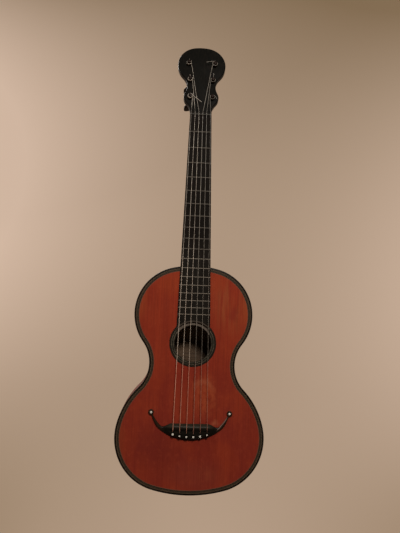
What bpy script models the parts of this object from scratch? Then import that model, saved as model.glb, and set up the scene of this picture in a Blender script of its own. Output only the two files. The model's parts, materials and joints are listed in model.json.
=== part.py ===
"""Six-string guitar of the early nineteenth century French kind.

Every length is in metres. The guitar stands upright as it hangs on a wall: +Z runs up the neck,
+X is the treble side and the front faces -Y. The origin is on the centre line, level with the
edge of the nut and in the plane of the soundboard's face. Pieces are drawn flat in one of three
frames, the soundboard's, the back's or the head's, in which x is across the guitar, y runs up
the plane and z stands out of it.
"""
import math

import bmesh
import bpy
from mathutils import Matrix, Vector

# Strings and frets
STRING_LENGTH = 0.6300
STRING_DIAMETERS = (0.00107, 0.00089, 0.00074, 0.00102, 0.00081, 0.00071)
NUT_SPREAD = 0.0396
SADDLE_SPREAD = 0.0665
NUT_STRING_HEIGHT = 0.0067
SADDLE_STRING_HEIGHT = 0.0117
STRING_END_DEPTH = 0.0058
FRET_COUNT = 18
FRET_WIDTH = 0.0015
FRET_STAND = 0.0010
FRET_SUNK = 0.0017
FRET_OVERHANG = 0.0004
FRET_CROWN = 0.0003

# Body outline: arcs that meet at a tangent, named from the tail up
BODY_TOP = -0.3099
BODY_LENGTH = 0.4473
LOWER_WIDTH = 0.2927
UPPER_WIDTH = 0.2355
TAIL_RADIUS = 0.2644
LOWER_RADIUS = 0.1028
FLANK_RADIUS = 0.1492
FLANK_ANGLE = math.radians(12.6)
WAIST_RADIUS = 0.0682
UPPER_RADIUS = 0.0943
TOP_RADIUS = 0.1899
DEPTH_AT_NECK = 0.0720
DEPTH_AT_TAIL = 0.0820
OUTLINE_STEP = 0.0160

# Plates, sides and edge work
SOUNDBOARD_THICKNESS = 0.0028
BACK_THICKNESS = 0.0025
RIB_THICKNESS = 0.0022
LINING_WIDTH = 0.0085
LINING_HEIGHT = 0.0120
LINING_CHAMFER = 0.0040
BINDING_WIDTH = 0.0038
BINDING_DEPTH = 0.0060
PURFLING_WIDTH = 0.0053
PURFLING_DEPTH = 0.0014
BACK_BINDING_WIDTH = 0.0028
BACK_BINDING_DEPTH = 0.0050

# Sound hole and rosette
HOLE_Z = -0.4643
HOLE_RADIUS = 0.0359
ROSETTE_RADIUS = 0.0466
ROSETTE_DEPTH = 0.0013
HOLE_SIDES = 40

# Bars under the soundboard and on the back
SOUNDBOARD_BARS = (-0.4080, -0.5200, -0.5800)
BACK_BARS = (-0.3900, -0.5050, -0.6200)
BAR_WIDTH = 0.0070
BAR_HEIGHT = 0.0140
BAR_END_HEIGHT = 0.0050
BAR_SCALLOP = 0.0450
NECK_BLOCK_WIDTH = 0.0560
NECK_BLOCK_LENGTH = 0.0280
END_BLOCK_WIDTH = 0.0620
END_BLOCK_LENGTH = 0.0160

# Neck, heel and fingerboard
NUT_WIDTH = 0.0440
BOARD_END_WIDTH = 0.0662
BOARD_END_Z = -0.4284
BOARD_THICKNESS = 0.0045
BOARD_HOLE_MARGIN = 0.0068
NECK_DEPTH = 0.0160
NECK_DEPTH_AT_HEEL = 0.0185
NECK_BACK_FLAT = 0.0040
HEEL_START = -0.2480
HEEL_TIP_THICKNESS = 0.0130
HEEL_TIP_WIDTH = 0.0180
HEEL_SHORT_OF_BACK = 0.0010
NUT_THICKNESS = 0.0050
NUT_STAND = 0.0006
NUT_EASE = 0.0016
HEAD_BLEND = 0.0120
NECK_BLEND = 0.0260

# Head, measured up its own face from where it breaks back behind the nut
HEAD_TILT = math.radians(12.0)
HEAD_LENGTH = 0.1578
HEAD_THICKNESS = 0.0140
HEAD_BEVEL = 0.0022
CROWN_RADIUS = 0.0880
LOBE_RADIUS = 0.0424
LOBE_WIDTH = 0.1006
HEAD_WAIST_RADIUS = 0.0347
JAW_RADIUS = 0.0200
JAW_WIDTH = 0.0726
JAW_HEIGHT = 0.0388
THROAT_RADIUS = 0.0345
HEAD_STEP = 0.0060

# Pegs: height up the head and distance from the centre line, lowest pair first
PEG_PLACES = ((0.0360, 0.0228), (0.0772, 0.0239), (0.1172, 0.0274))
PEG_TURNS = (8.0, 172.0, 55.0, 80.0, 97.0, 120.0)
PEG_FRONT_RADIUS = 0.0040
PEG_BACK_RADIUS = 0.0045
PEG_STAND = 0.0108
PEG_COLLAR_RADIUS = 0.0066
PEG_COLLAR_LENGTH = 0.0030
PEG_STEM = 0.0100
PADDLE_WIDTH = 0.0235
PADDLE_LENGTH = 0.0200
PADDLE_THICKNESS = 0.0066
PADDLE_SUNK = 0.0030
PEG_SIDES = 12
COIL_START = 0.0041
COIL_TURNS = 2.2
COIL_POINTS = 24
COIL_GAP = 0.00045

# Bridge, saddle and bridge pins
BRIDGE_FRONT_Z = -0.6216
BRIDGE_REAR_Z = -0.6522
BRIDGE_HALF_FRONT = 0.0420
BRIDGE_HEIGHT = 0.0083
BRIDGE_EDGE_HEIGHT = 0.0034
BRIDGE_SMILE_RADIUS = 0.0970
BRIDGE_NOTCH = (0.0510, -0.6310)
BRIDGE_SHOULDER = 0.0370
BRIDGE_RAMP = 0.0058
BRIDGE_REAR_SLOPE = 0.0060
BRIDGE_END_SLOPE = 0.0060
CURL_CENTRE = (0.0769, -0.5997)
CURL_RADIUS = 0.0055
CURL_DOT_RADIUS = 0.0027
CURL_DOT_THICKNESS = 0.0010
SADDLE_THICKNESS = 0.0022
SADDLE_LENGTH = 0.0760
SADDLE_SUNK = 0.0030
COMPENSATION = 0.0008
PIN_ROW_Z = -0.6440
PIN_ROW_RADIUS = 0.1270
PIN_RADIUS = 0.0026
PIN_TIP_RADIUS = 0.0022
PIN_HEAD_RADIUS = 0.0033
PIN_HEAD_HEIGHT = 0.0036
PIN_END_DEPTH = 0.0095
PIN_SIDES = 12
STRING_ENTRY_DEPTH = 0.0020

# Clearances
GAP = 0.0003
STRING_GAP = 0.0003
TAPER_OVERRUN = 0.0001
OVERRUN = 0.0100
WELD = 0.000005

# Colours: linear red, green and blue, then roughness and metallic
FINISHES = {
    "varnished_spruce": ((0.235, 0.040, 0.014), 0.28, 0.0),
    "varnished_maple": ((0.130, 0.040, 0.014), 0.28, 0.0),
    "ebony": ((0.012, 0.010, 0.009), 0.38, 0.0),
    "edge_inlay": ((0.070, 0.058, 0.045), 0.40, 0.0),
    "rosette_inlay": ((0.060, 0.052, 0.040), 0.42, 0.0),
    "black_stained_wood": ((0.011, 0.009, 0.008), 0.35, 0.0),
    "raw_spruce": ((0.450, 0.270, 0.120), 0.75, 0.0),
    "silver": ((0.460, 0.430, 0.380), 0.35, 1.0),
    "pearl": ((0.640, 0.610, 0.540), 0.30, 0.0),
    "gut": ((0.420, 0.340, 0.240), 0.45, 0.0),
    "wound_string": ((0.360, 0.320, 0.270), 0.35, 1.0),
}


# Scene and materials
def clear_scene():
    for old in list(bpy.data.objects):
        bpy.data.objects.remove(old, do_unlink=True)


def make_collection(name):
    made = bpy.data.collections.new(name)
    bpy.context.scene.collection.children.link(made)
    return made


def finish(name):
    """The Principled material of this name, made once."""
    made = bpy.data.materials.get(name)
    if made is None:
        colour, roughness, metallic = FINISHES[name]
        made = bpy.data.materials.new(name)
        made.use_nodes = True
        shader = made.node_tree.nodes["Principled BSDF"]
        shader.inputs["Base Color"].default_value = (*colour, 1.0)
        shader.inputs["Roughness"].default_value = roughness
        shader.inputs["Metallic"].default_value = metallic
        made.diffuse_color = (*colour, 1.0)
    return made


def keep(piece, finish_name):
    """Put a finished piece in the guitar's collection with its material."""
    for home in list(piece.users_collection):
        home.objects.unlink(piece)
    GUITAR.objects.link(piece)
    piece.data.materials.clear()
    piece.data.materials.append(finish(finish_name))
    return piece


def keep_cutter(piece):
    for home in list(piece.users_collection):
        home.objects.unlink(piece)
    CUTTERS.objects.link(piece)
    piece.hide_render = True
    piece.display_type = "WIRE"
    return piece


# Frames: flat pieces are drawn in a plane that may lean
def leaning_frame(origin, lean):
    """Frame whose y runs up a plane that leans back by this angle, and whose z stands out in front."""
    up = Vector((0.0, math.sin(lean), math.cos(lean)))
    out = Vector((0.0, -math.cos(lean), math.sin(lean)))
    across = Vector((1.0, 0.0, 0.0))
    frame = Matrix((across, up, out)).transposed().to_4x4()
    frame.translation = Vector(origin)
    return frame


def back_plane_y(z):
    """Depth of the back's outer face at a height: the body is deeper at the tail."""
    along = (BODY_TOP - z) / BODY_LENGTH
    return DEPTH_AT_NECK + (DEPTH_AT_TAIL - DEPTH_AT_NECK) * along


# Shapes
def as_mesh(curve_object):
    """Mesh object of a curve, its caps welded; the curve is removed."""
    graph = bpy.context.evaluated_depsgraph_get()
    mesh = bpy.data.meshes.new_from_object(curve_object.evaluated_get(graph))
    cleaned = bmesh.new()
    cleaned.from_mesh(mesh)
    bmesh.ops.remove_doubles(cleaned, verts=cleaned.verts, dist=WELD)
    bmesh.ops.dissolve_limit(cleaned, angle_limit=math.radians(0.1), verts=[], edges=cleaned.edges)
    bmesh.ops.recalc_face_normals(cleaned, faces=cleaned.faces)
    cleaned.to_mesh(mesh)
    cleaned.free()
    made = bpy.data.objects.new(curve_object.name, mesh)
    made.matrix_world = curve_object.matrix_world.copy()
    name = curve_object.name
    bpy.context.scene.collection.objects.link(made)
    bpy.data.objects.remove(curve_object, do_unlink=True)
    made.name = name
    return made


def plate(name, loops, low, high, frame):
    """Flat piece between two heights over a frame, from an outline and any holes in it."""
    curve = bpy.data.curves.new(name, "CURVE")
    curve.dimensions = "2D"
    curve.fill_mode = "BOTH"
    curve.extrude = (high - low) / 2
    for loop in loops:
        spline = curve.splines.new("POLY")
        spline.points.add(len(loop) - 1)
        for point, (x, y) in zip(spline.points, loop):
            point.co = (x, y, 0.0, 1.0)
        spline.use_cyclic_u = True
    drawn = bpy.data.objects.new(name, curve)
    bpy.context.scene.collection.objects.link(drawn)
    drawn.matrix_world = frame @ Matrix.Translation((0.0, 0.0, (high + low) / 2))
    bpy.context.view_layer.update()
    return as_mesh(drawn)


def box(name, low, high, frame=None):
    """Box between two corners of a frame, with its scale applied."""
    bpy.ops.mesh.primitive_cube_add(size=1.0)
    made = bpy.context.object
    made.name = name
    size = [b - a for a, b in zip(low, high)]
    middle = [(a + b) / 2 for a, b in zip(low, high)]
    made.data.transform(Matrix.Translation(middle) @ Matrix.Diagonal((*size, 1.0)))
    if frame is not None:
        made.matrix_world = frame
    return made


def cone(name, low_radius, high_radius, low, high, frame, sides=16):
    """Round peg or hole along a frame's z, between two heights."""
    bpy.ops.mesh.primitive_cone_add(vertices=sides, radius1=low_radius, radius2=high_radius, depth=high - low)
    made = bpy.context.object
    made.name = name
    made.matrix_world = frame @ Matrix.Translation((0.0, 0.0, (low + high) / 2))
    return made


def turned(name, profile, steps, frame):
    """Shape turned about a frame's z from (radius, height) points that run down its outer side."""
    mesh = bpy.data.meshes.new(name)
    points = [(radius, 0.0, height) for radius, height in profile]
    mesh.from_pydata(points, [(i, i + 1) for i in range(len(points) - 1)], [])
    made = bpy.data.objects.new(name, mesh)
    bpy.context.scene.collection.objects.link(made)
    made.matrix_world = frame
    screw = made.modifiers.new("turn", "SCREW")
    screw.steps = steps
    screw.render_steps = steps
    screw.use_merge_vertices = True
    screw.merge_threshold = WELD
    screw.use_smooth_shade = True
    return made


def tube(name, points, diameter, finish_name):
    """Round cord through points in the world."""
    curve = bpy.data.curves.new(name, "CURVE")
    curve.dimensions = "3D"
    curve.bevel_depth = diameter / 2
    curve.bevel_resolution = 1
    curve.use_fill_caps = True
    spline = curve.splines.new("POLY")
    spline.points.add(len(points) - 1)
    for point, place in zip(spline.points, points):
        point.co = (*place, 1.0)
    made = bpy.data.objects.new(name, curve)
    bpy.context.scene.collection.objects.link(made)
    return keep(made, finish_name)


def loft(name, rings):
    """Closed solid through rings of equally many points, listed clockwise as seen along the loft."""
    shape = bmesh.new()
    rows = [[shape.verts.new(point) for point in ring] for ring in rings]
    count = len(rows[0])
    for row, following in zip(rows, rows[1:]):
        for i in range(count):
            j = (i + 1) % count
            shape.faces.new((row[i], row[j], following[j], following[i]))
    shape.faces.new(list(reversed(rows[0])))
    shape.faces.new(rows[-1])
    bmesh.ops.recalc_face_normals(shape, faces=shape.faces)
    mesh = bpy.data.meshes.new(name)
    shape.to_mesh(mesh)
    shape.free()
    made = bpy.data.objects.new(name, mesh)
    bpy.context.scene.collection.objects.link(made)
    return made


def shape_with(piece, tool, operation="DIFFERENCE"):
    """Cut, join or trim a piece with a tool that stays in the scene as a guide."""
    change = piece.modifiers.new(operation.lower(), "BOOLEAN")
    change.operation = operation
    change.solver = "EXACT"
    change.object = keep_cutter(tool)
    return piece


def soften(piece, angle=35.0):
    """Shade round faces smooth and leave real corners sharp."""
    piece.data.shade_smooth()
    piece.data.set_sharp_from_angle(angle=math.radians(angle))
    return piece


# Arcs
def angle_from(centre, point):
    return math.atan2(point[1] - centre[1], point[0] - centre[0])


def tangent_circle(first, first_radius, second, second_radius, radius):
    """Centre of a circle that touches two others from outside, on their right."""
    reach_first = first_radius + radius
    reach_second = second_radius + radius
    across = (second[0] - first[0], second[1] - first[1])
    span = math.hypot(*across)
    along = (reach_first**2 - reach_second**2 + span**2) / (2 * span)
    off = math.sqrt(reach_first**2 - along**2)
    unit = (across[0] / span, across[1] / span)
    return (first[0] + along * unit[0] + off * unit[1], first[1] + along * unit[1] - off * unit[0])


def arc(centre, radius, start, end, step, inset=0.0):
    """Points of an arc without its first; a hollow arc is one whose angle falls."""
    turn = end - start
    steps = max(2, math.ceil(abs(turn) * radius / step))
    drawn = radius - inset if turn > 0 else radius + inset
    angles = [start + turn * i / steps for i in range(1, steps + 1)]
    return [(centre[0] + drawn * math.cos(a), centre[1] + drawn * math.sin(a)) for a in angles]


def circle(centre, radius, sides):
    angles = [2 * math.pi * i / sides for i in range(sides)]
    return [(centre[0] + radius * math.cos(a), centre[1] + radius * math.sin(a)) for a in angles]


def mirrored(half):
    """Closed loop from the right half of an outline; points on the centre line are used once."""
    return half + [(-x, y) for x, y in reversed(half) if x > 0.0]


# Body outline
def body_half(inset=0.0):
    """Treble half of the body outline from tail to neck, moved inwards by inset."""
    body_tail = BODY_TOP - BODY_LENGTH
    tail = (0.0, body_tail + TAIL_RADIUS)
    lower_x = LOWER_WIDTH / 2 - LOWER_RADIUS
    lower = (lower_x, tail[1] - math.sqrt((TAIL_RADIUS - LOWER_RADIUS) ** 2 - lower_x**2))
    reach = FLANK_RADIUS - LOWER_RADIUS
    flank = (lower[0] - reach * math.cos(FLANK_ANGLE), lower[1] - reach * math.sin(FLANK_ANGLE))
    top = (0.0, BODY_TOP - TOP_RADIUS)
    upper_x = UPPER_WIDTH / 2 - UPPER_RADIUS
    upper = (upper_x, top[1] + math.sqrt((TOP_RADIUS - UPPER_RADIUS) ** 2 - upper_x**2))
    waist = tangent_circle(flank, FLANK_RADIUS, upper, UPPER_RADIUS, WAIST_RADIUS)
    tail_end = angle_from(tail, lower)
    flank_end = angle_from(flank, waist)
    waist_end = angle_from(waist, upper) % (2 * math.pi)
    upper_end = angle_from(top, upper)
    points = [(0.0, body_tail + inset)]
    points += arc(tail, TAIL_RADIUS, -math.pi / 2, tail_end, OUTLINE_STEP, inset)
    points += arc(lower, LOWER_RADIUS, tail_end, FLANK_ANGLE, OUTLINE_STEP, inset)
    points += arc(flank, FLANK_RADIUS, FLANK_ANGLE, flank_end, OUTLINE_STEP, inset)
    points += arc(waist, WAIST_RADIUS, flank_end + math.pi, waist_end, OUTLINE_STEP, inset)
    points += arc(upper, UPPER_RADIUS, waist_end - math.pi, upper_end, OUTLINE_STEP, inset)
    points += arc(top, TOP_RADIUS, upper_end, math.pi / 2, OUTLINE_STEP, inset)
    points[-1] = (0.0, points[-1][1])
    return points


def body_loop(inset=0.0):
    return mirrored(body_half(inset))


def back_loop(inset=0.0):
    """Body outline drawn in the leaning plane of the back, from the tail."""
    body_tail = BODY_TOP - BODY_LENGTH
    return [(x, (z - body_tail) / math.cos(BACK_LEAN)) for x, z in body_loop(inset)]


def body_half_width(z, inset):
    """Half the width inside the outline at a height."""
    half = body_half(inset)
    for (x1, z1), (x2, z2) in zip(half, half[1:]):
        if z1 <= z <= z2:
            return x1 + (x2 - x1) * (z - z1) / (z2 - z1)
    return 0.0


# Body shell
def rib_section(point, inward):
    """Section of one side: bent wall with a lining at each edge and rebates for the bindings."""
    board_seat = SOUNDBOARD_THICKNESS + GAP
    binding_seat = BINDING_DEPTH + GAP
    rebate = BINDING_WIDTH + GAP
    back_rebate = BACK_BINDING_WIDTH + GAP
    back_seat = -(BACK_THICKNESS + GAP)
    back_binding_seat = -(BACK_BINDING_DEPTH + GAP)
    front_part = [
        (RIB_THICKNESS, board_seat + LINING_HEIGHT + LINING_CHAMFER),
        (LINING_WIDTH, board_seat + LINING_HEIGHT),
        (LINING_WIDTH, board_seat),
        (rebate, board_seat),
        (rebate, binding_seat),
        (0.0, binding_seat),
    ]
    back_part = [
        (0.0, back_binding_seat),
        (back_rebate, back_binding_seat),
        (back_rebate, back_seat),
        (LINING_WIDTH, back_seat),
        (LINING_WIDTH, back_seat - LINING_HEIGHT),
        (RIB_THICKNESS, back_seat - LINING_HEIGHT - LINING_CHAMFER),
    ]
    ring = []
    for inset, depth in front_part:
        ring.append((point[0] + inset * inward[0], depth, point[1] + inset * inward[1]))
    for inset, depth in back_part:
        z = point[1] + inset * inward[1]
        ring.append((point[0] + inset * inward[0], back_plane_y(z) + depth, z))
    return ring


def make_rib(name, side):
    """One bent side, from the joint at the tail to the joint under the heel."""
    outer = body_half()
    inner = body_half(LINING_WIDTH)
    rings = []
    for (x, z), (inner_x, inner_z) in zip(outer, inner):
        reach = math.hypot(inner_x - x, inner_z - z)
        inward = ((inner_x - x) / reach, (inner_z - z) / reach)
        ring = rib_section((x, z), inward)
        rings.append([(side * max(px, GAP / 2), py, pz) for px, py, pz in ring])
    return keep(soften(loft(name, rings)), "varnished_maple")


def make_soundboard():
    hole = circle((0.0, HOLE_Z), HOLE_RADIUS, HOLE_SIDES)
    board = plate("soundboard", [body_loop(BINDING_WIDTH + GAP), hole], -SOUNDBOARD_THICKNESS, 0.0, FRONT)
    rebate_floor = -(PURFLING_DEPTH + GAP)
    purfling_seat = body_loop(BINDING_WIDTH + PURFLING_WIDTH + 3 * GAP)
    rebate = plate("purfling_rebate", [body_loop(0.0), purfling_seat], rebate_floor, OVERRUN, FRONT)
    recess_outer = circle((0.0, HOLE_Z), ROSETTE_RADIUS + GAP, HOLE_SIDES)
    recess_inner = circle((0.0, HOLE_Z), HOLE_RADIUS / 2, HOLE_SIDES)
    recess = plate("rosette_recess", [recess_outer, recess_inner], -(ROSETTE_DEPTH + GAP), OVERRUN, FRONT)
    shape_with(board, rebate)
    shape_with(board, recess)
    for number, place in enumerate(pin_places(), 1):
        hole_cutter = cone(f"board_pin_hole_{number}", PIN_RADIUS + 2 * GAP, PIN_RADIUS + 2 * GAP, -OVERRUN,
                           OVERRUN, FRONT @ Matrix.Translation((*place, 0.0)), PIN_SIDES)
        shape_with(board, hole_cutter)
    return keep(board, "varnished_spruce")


def make_back():
    return keep(plate("back", [back_loop(BACK_BINDING_WIDTH + GAP)], 0.0, BACK_THICKNESS, BACK), "varnished_maple")


def make_edges():
    """Ebony bindings at both edges and the inlaid strip inside the front one."""
    front = [body_loop(0.0), body_loop(BINDING_WIDTH)]
    keep(soften(plate("top_binding", front, -BINDING_DEPTH, 0.0, FRONT)), "ebony")
    strip = [body_loop(BINDING_WIDTH + 2 * GAP), body_loop(BINDING_WIDTH + 2 * GAP + PURFLING_WIDTH)]
    keep(soften(plate("top_purfling", strip, -PURFLING_DEPTH, 0.0, FRONT)), "edge_inlay")
    rear = [back_loop(0.0), back_loop(BACK_BINDING_WIDTH)]
    keep(soften(plate("back_binding", rear, 0.0, BACK_BINDING_DEPTH, BACK)), "ebony")


def make_rosette():
    rings = [circle((0.0, HOLE_Z), ROSETTE_RADIUS, HOLE_SIDES), circle((0.0, HOLE_Z), HOLE_RADIUS, HOLE_SIDES)]
    return keep(soften(plate("rosette", rings, -ROSETTE_DEPTH, 0.0, FRONT)), "rosette_inlay")


def bar_outline(half):
    """Side view of a bar: full height in the middle, carved down towards both ends."""
    shallow = half - min(BAR_SCALLOP, half * 0.6)
    return [(-half, 0.0), (half, 0.0), (half, BAR_END_HEIGHT), (shallow, BAR_HEIGHT), (-shallow, BAR_HEIGHT),
            (-half, BAR_END_HEIGHT)]


def make_bar(name, z, frame, turn):
    """Cross bar glued to a plate, let in between the linings."""
    inset = LINING_WIDTH + GAP
    edges = (z - BAR_WIDTH / 2, z + BAR_WIDTH / 2)
    half = min(body_half_width(edge, inset) for edge in edges)
    drawn = plate(name, [bar_outline(half)], -BAR_WIDTH / 2, BAR_WIDTH / 2, frame @ turn)
    return keep(drawn, "raw_spruce")


def make_bars():
    away_from_board = Matrix.Rotation(-math.pi / 2, 4, "X")
    for number, z in enumerate(SOUNDBOARD_BARS, 1):
        seat = FRONT @ Matrix.Translation((0.0, z, -(SOUNDBOARD_THICKNESS + GAP)))
        make_bar(f"soundboard_bar_{number}", z, seat, away_from_board)
    away_from_back = Matrix.Rotation(math.pi / 2, 4, "X")
    body_tail = BODY_TOP - BODY_LENGTH
    for number, z in enumerate(BACK_BARS, 1):
        up = (z - body_tail) / math.cos(BACK_LEAN)
        seat = BACK @ Matrix.Translation((0.0, up, BACK_THICKNESS + GAP))
        make_bar(f"back_bar_{number}", z, seat, away_from_back)


def within(outline, side):
    """Stretch of an outline from the centre line out to a side, ending exactly there."""
    kept = [outline[0]]
    for (x1, z1), (x2, z2) in zip(outline, outline[1:]):
        if x2 >= side:
            return kept + [(side, z1 + (z2 - z1) * (side - x1) / (x2 - x1))]
        kept.append((x2, z2))
    return kept


def make_block(name, outline, width, inner_z):
    """Block that joins the ribs, notched over the linings and cut flush under both plates."""
    half = within(outline, width / 2) + [(width / 2, inner_z)]
    seat = SOUNDBOARD_THICKNESS + GAP
    block = plate(name, [mirrored(half)], -DEPTH_AT_TAIL, -seat, FRONT)
    notch_inner = LINING_WIDTH + GAP
    notch = plate(f"{name}_front_notch", [body_loop(-OVERRUN), body_loop(notch_inner)],
                  -(seat + LINING_HEIGHT + LINING_CHAMFER + GAP), OVERRUN, FRONT)
    back_seat = BACK_THICKNESS + GAP
    back_notch_inner = LINING_WIDTH + 3 * GAP
    back_notch = plate(f"{name}_back_notch", [back_loop(-OVERRUN), back_loop(back_notch_inner)], -OVERRUN,
                       back_seat + LINING_HEIGHT + LINING_CHAMFER + GAP, BACK)
    beyond = box(f"{name}_back_face", (-LOWER_WIDTH, -BODY_LENGTH, -2 * OVERRUN), (LOWER_WIDTH, 2 * BODY_LENGTH, back_seat),
                 BACK)
    for tool in (beyond, notch, back_notch):
        shape_with(block, tool)
    return keep(block, "raw_spruce")


def make_blocks():
    inside_ribs = body_half(RIB_THICKNESS + GAP)
    make_block("neck_block", inside_ribs[::-1], NECK_BLOCK_WIDTH, BODY_TOP - NECK_BLOCK_LENGTH)
    make_block("end_block", inside_ribs, END_BLOCK_WIDTH, BODY_TOP - BODY_LENGTH + END_BLOCK_LENGTH)


# Neck, fingerboard, frets and nut
def fret_z(number):
    return -STRING_LENGTH * (1 - 2 ** (-number / 12))


def board_half_width(z):
    return (NUT_WIDTH + (BOARD_END_WIDTH - NUT_WIDTH) * z / BOARD_END_Z) / 2


def neck_ring(z, depth, back_flat, fullness):
    """Section of the neck: flat in front, round behind, with its sides drawn in as on a heel."""
    half = board_half_width(min(z, 0.0))
    steps = 6
    side = []
    for i in range(steps + 1):
        down = math.sin(math.pi / 2 * i / steps)
        spread = (1 - down**fullness) ** (1 / fullness)
        side.append((back_flat / 2 + (half - back_flat / 2) * spread, depth * down))
    right = [(x, y, z) for x, y in side]
    left = [(-x, y, z) for x, y in reversed(side)]
    return right + left


def make_neck():
    """Neck and heel in one piece, from behind the nut to the body, which it butts against."""
    head_depth = HEAD_THICKNESS / math.cos(HEAD_TILT)
    rings = [
        neck_ring(NECK_TOP, head_depth, NECK_BACK_FLAT * 6, 5.0),
        neck_ring(NECK_TOP - HEAD_BLEND, head_depth, NECK_BACK_FLAT * 3, 3.0),
        neck_ring(NECK_TOP - NECK_BLEND, NECK_DEPTH, NECK_BACK_FLAT, 2.1),
        neck_ring(NECK_TOP - 2 * NECK_BLEND, NECK_DEPTH, NECK_BACK_FLAT, 2.0),
        neck_ring(HEEL_START, NECK_DEPTH_AT_HEEL, NECK_BACK_FLAT, 2.0),
    ]
    heel_depth = back_plane_y(BODY_TOP) - HEEL_SHORT_OF_BACK
    sweep = HEEL_START - (BODY_TOP + HEEL_TIP_THICKNESS)
    steps = 7
    for i in range(1, steps + 1):
        turn = math.pi / 2 * i / steps
        part = 1 - math.cos(turn)
        depth = NECK_DEPTH_AT_HEEL + (heel_depth - NECK_DEPTH_AT_HEEL) * part
        flat = NECK_BACK_FLAT + (HEEL_TIP_WIDTH - NECK_BACK_FLAT) * part
        rings.append(neck_ring(HEEL_START - sweep * math.sin(turn), depth, flat, 2.0 - 0.75 * part))
    rings.append(neck_ring(BODY_TOP - OVERRUN, heel_depth, HEEL_TIP_WIDTH, 1.25))
    neck = soften(loft("neck", rings))
    body = plate("neck_body_cut", [body_loop(-GAP)], -2 * DEPTH_AT_TAIL, OVERRUN, FRONT)
    return keep(shape_with(neck, body), "black_stained_wood")


def board_loop():
    """Fingerboard outline: tapered, with a hollow end that follows the rosette."""
    reach = HOLE_RADIUS + BOARD_HOLE_MARGIN
    corner = board_half_width(BOARD_END_Z) - 0.0004
    corner_angle = math.acos(corner / reach)
    end = arc((0.0, HOLE_Z), reach, corner_angle, math.pi - corner_angle, 0.004)
    corner_z = HOLE_Z + reach * math.sin(corner_angle)
    tip = board_half_width(corner_z)
    return [(-NUT_WIDTH / 2, 0.0), (-tip, corner_z), (-corner, corner_z)] + end[::-1][1:] + \
           [(corner, corner_z), (tip, corner_z), (NUT_WIDTH / 2, 0.0)]


def make_fingerboard():
    low, high = GAP, GAP + BOARD_THICKNESS
    board = plate("fingerboard", [board_loop()], low, high, FRONT)
    for number in range(1, FRET_COUNT + 1):
        z = fret_z(number)
        half = FRET_WIDTH / 2 + GAP
        floor = high - FRET_SUNK - GAP
        slot = box(f"fret_slot_{number:02d}", (-BOARD_END_WIDTH, z - half, floor),
                   (BOARD_END_WIDTH, z + half, high + OVERRUN), FRONT)
        shape_with(board, slot)
    return keep(board, "ebony")


def make_frets():
    """Bar frets let into slots across the fingerboard, with their top edges eased."""
    top = GAP + BOARD_THICKNESS + FRET_STAND
    low = GAP + BOARD_THICKNESS - FRET_SUNK
    half = FRET_WIDTH / 2
    ease = FRET_CROWN
    for number in range(1, FRET_COUNT + 1):
        z = fret_z(number)
        width = board_half_width(z) - FRET_OVERHANG
        section = [(-half, low), (half, low), (half, top - ease), (half - ease, top), (ease - half, top),
                   (-half, top - ease)]
        along_x = Matrix(((0, 0, 1), (1, 0, 0), (0, 1, 0))).to_4x4()
        frame = FRONT @ Matrix.Translation((0.0, z, 0.0)) @ along_x
        keep(plate(f"fret_{number:02d}", [section], -width, width, frame), "silver")


def string_x(number, spread):
    return (number - 3.5) * spread / 5


def make_nut():
    """Nut on the end of the neck, its top sloped back towards the head, with a slot for each string."""
    low = GAP
    high = NUT_STRING_HEIGHT + NUT_STAND
    back = NUT_THICKNESS + GAP
    section = [(GAP, low), (back, low), (back, high - NUT_EASE), (GAP + NUT_EASE, high), (GAP, high)]
    along_x = Matrix(((0, 0, 1), (1, 0, 0), (0, 1, 0))).to_4x4()
    half = NUT_WIDTH / 2 - GAP
    nut = plate("nut", [section], -half, half, FRONT @ along_x)
    for number, diameter in enumerate(STRING_DIAMETERS, 1):
        x = string_x(number, NUT_SPREAD)
        side = diameter / 2 + STRING_GAP
        floor = NUT_STRING_HEIGHT - diameter / 2 - STRING_GAP
        slot = box(f"nut_slot_{number}", (x - side, -OVERRUN, floor), (x + side, OVERRUN, high + OVERRUN),
                   FRONT @ Matrix.Rotation(-NUT_SLOT_FALL, 4, "X"))
        shape_with(nut, slot)
    return keep(nut, "ebony")


# Head
def head_half():
    """Right half of the head's face, from the neck to the crown: jaw, waist and lobe."""
    neck_half = NUT_WIDTH / 2
    jaw = (JAW_WIDTH / 2 - JAW_RADIUS, JAW_HEIGHT)
    throat_x = neck_half + THROAT_RADIUS
    throat = (throat_x, jaw[1] - math.sqrt((THROAT_RADIUS + JAW_RADIUS) ** 2 - (throat_x - jaw[0]) ** 2))
    crown = (0.0, HEAD_LENGTH - CROWN_RADIUS)
    lobe_x = LOBE_WIDTH / 2 - LOBE_RADIUS
    lobe = (lobe_x, crown[1] + math.sqrt((CROWN_RADIUS - LOBE_RADIUS) ** 2 - lobe_x**2))
    waist = tangent_circle(jaw, JAW_RADIUS, lobe, LOBE_RADIUS, HEAD_WAIST_RADIUS)
    throat_end = angle_from(throat, jaw) % (2 * math.pi)
    jaw_end = angle_from(jaw, waist)
    waist_end = angle_from(waist, lobe) % (2 * math.pi)
    crown_start = angle_from(crown, lobe)
    points = [(neck_half, -OVERRUN), (neck_half, throat[1])]
    points += arc(throat, THROAT_RADIUS, math.pi, throat_end, HEAD_STEP)
    points += arc(jaw, JAW_RADIUS, throat_end - math.pi, jaw_end, HEAD_STEP)
    points += arc(waist, HEAD_WAIST_RADIUS, jaw_end + math.pi, waist_end, HEAD_STEP)
    points += arc(lobe, LOBE_RADIUS, waist_end - math.pi, crown_start, HEAD_STEP)
    points += arc(crown, CROWN_RADIUS, crown_start, math.pi / 2, HEAD_STEP)
    points[-1] = (0.0, HEAD_LENGTH)
    return points


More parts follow.
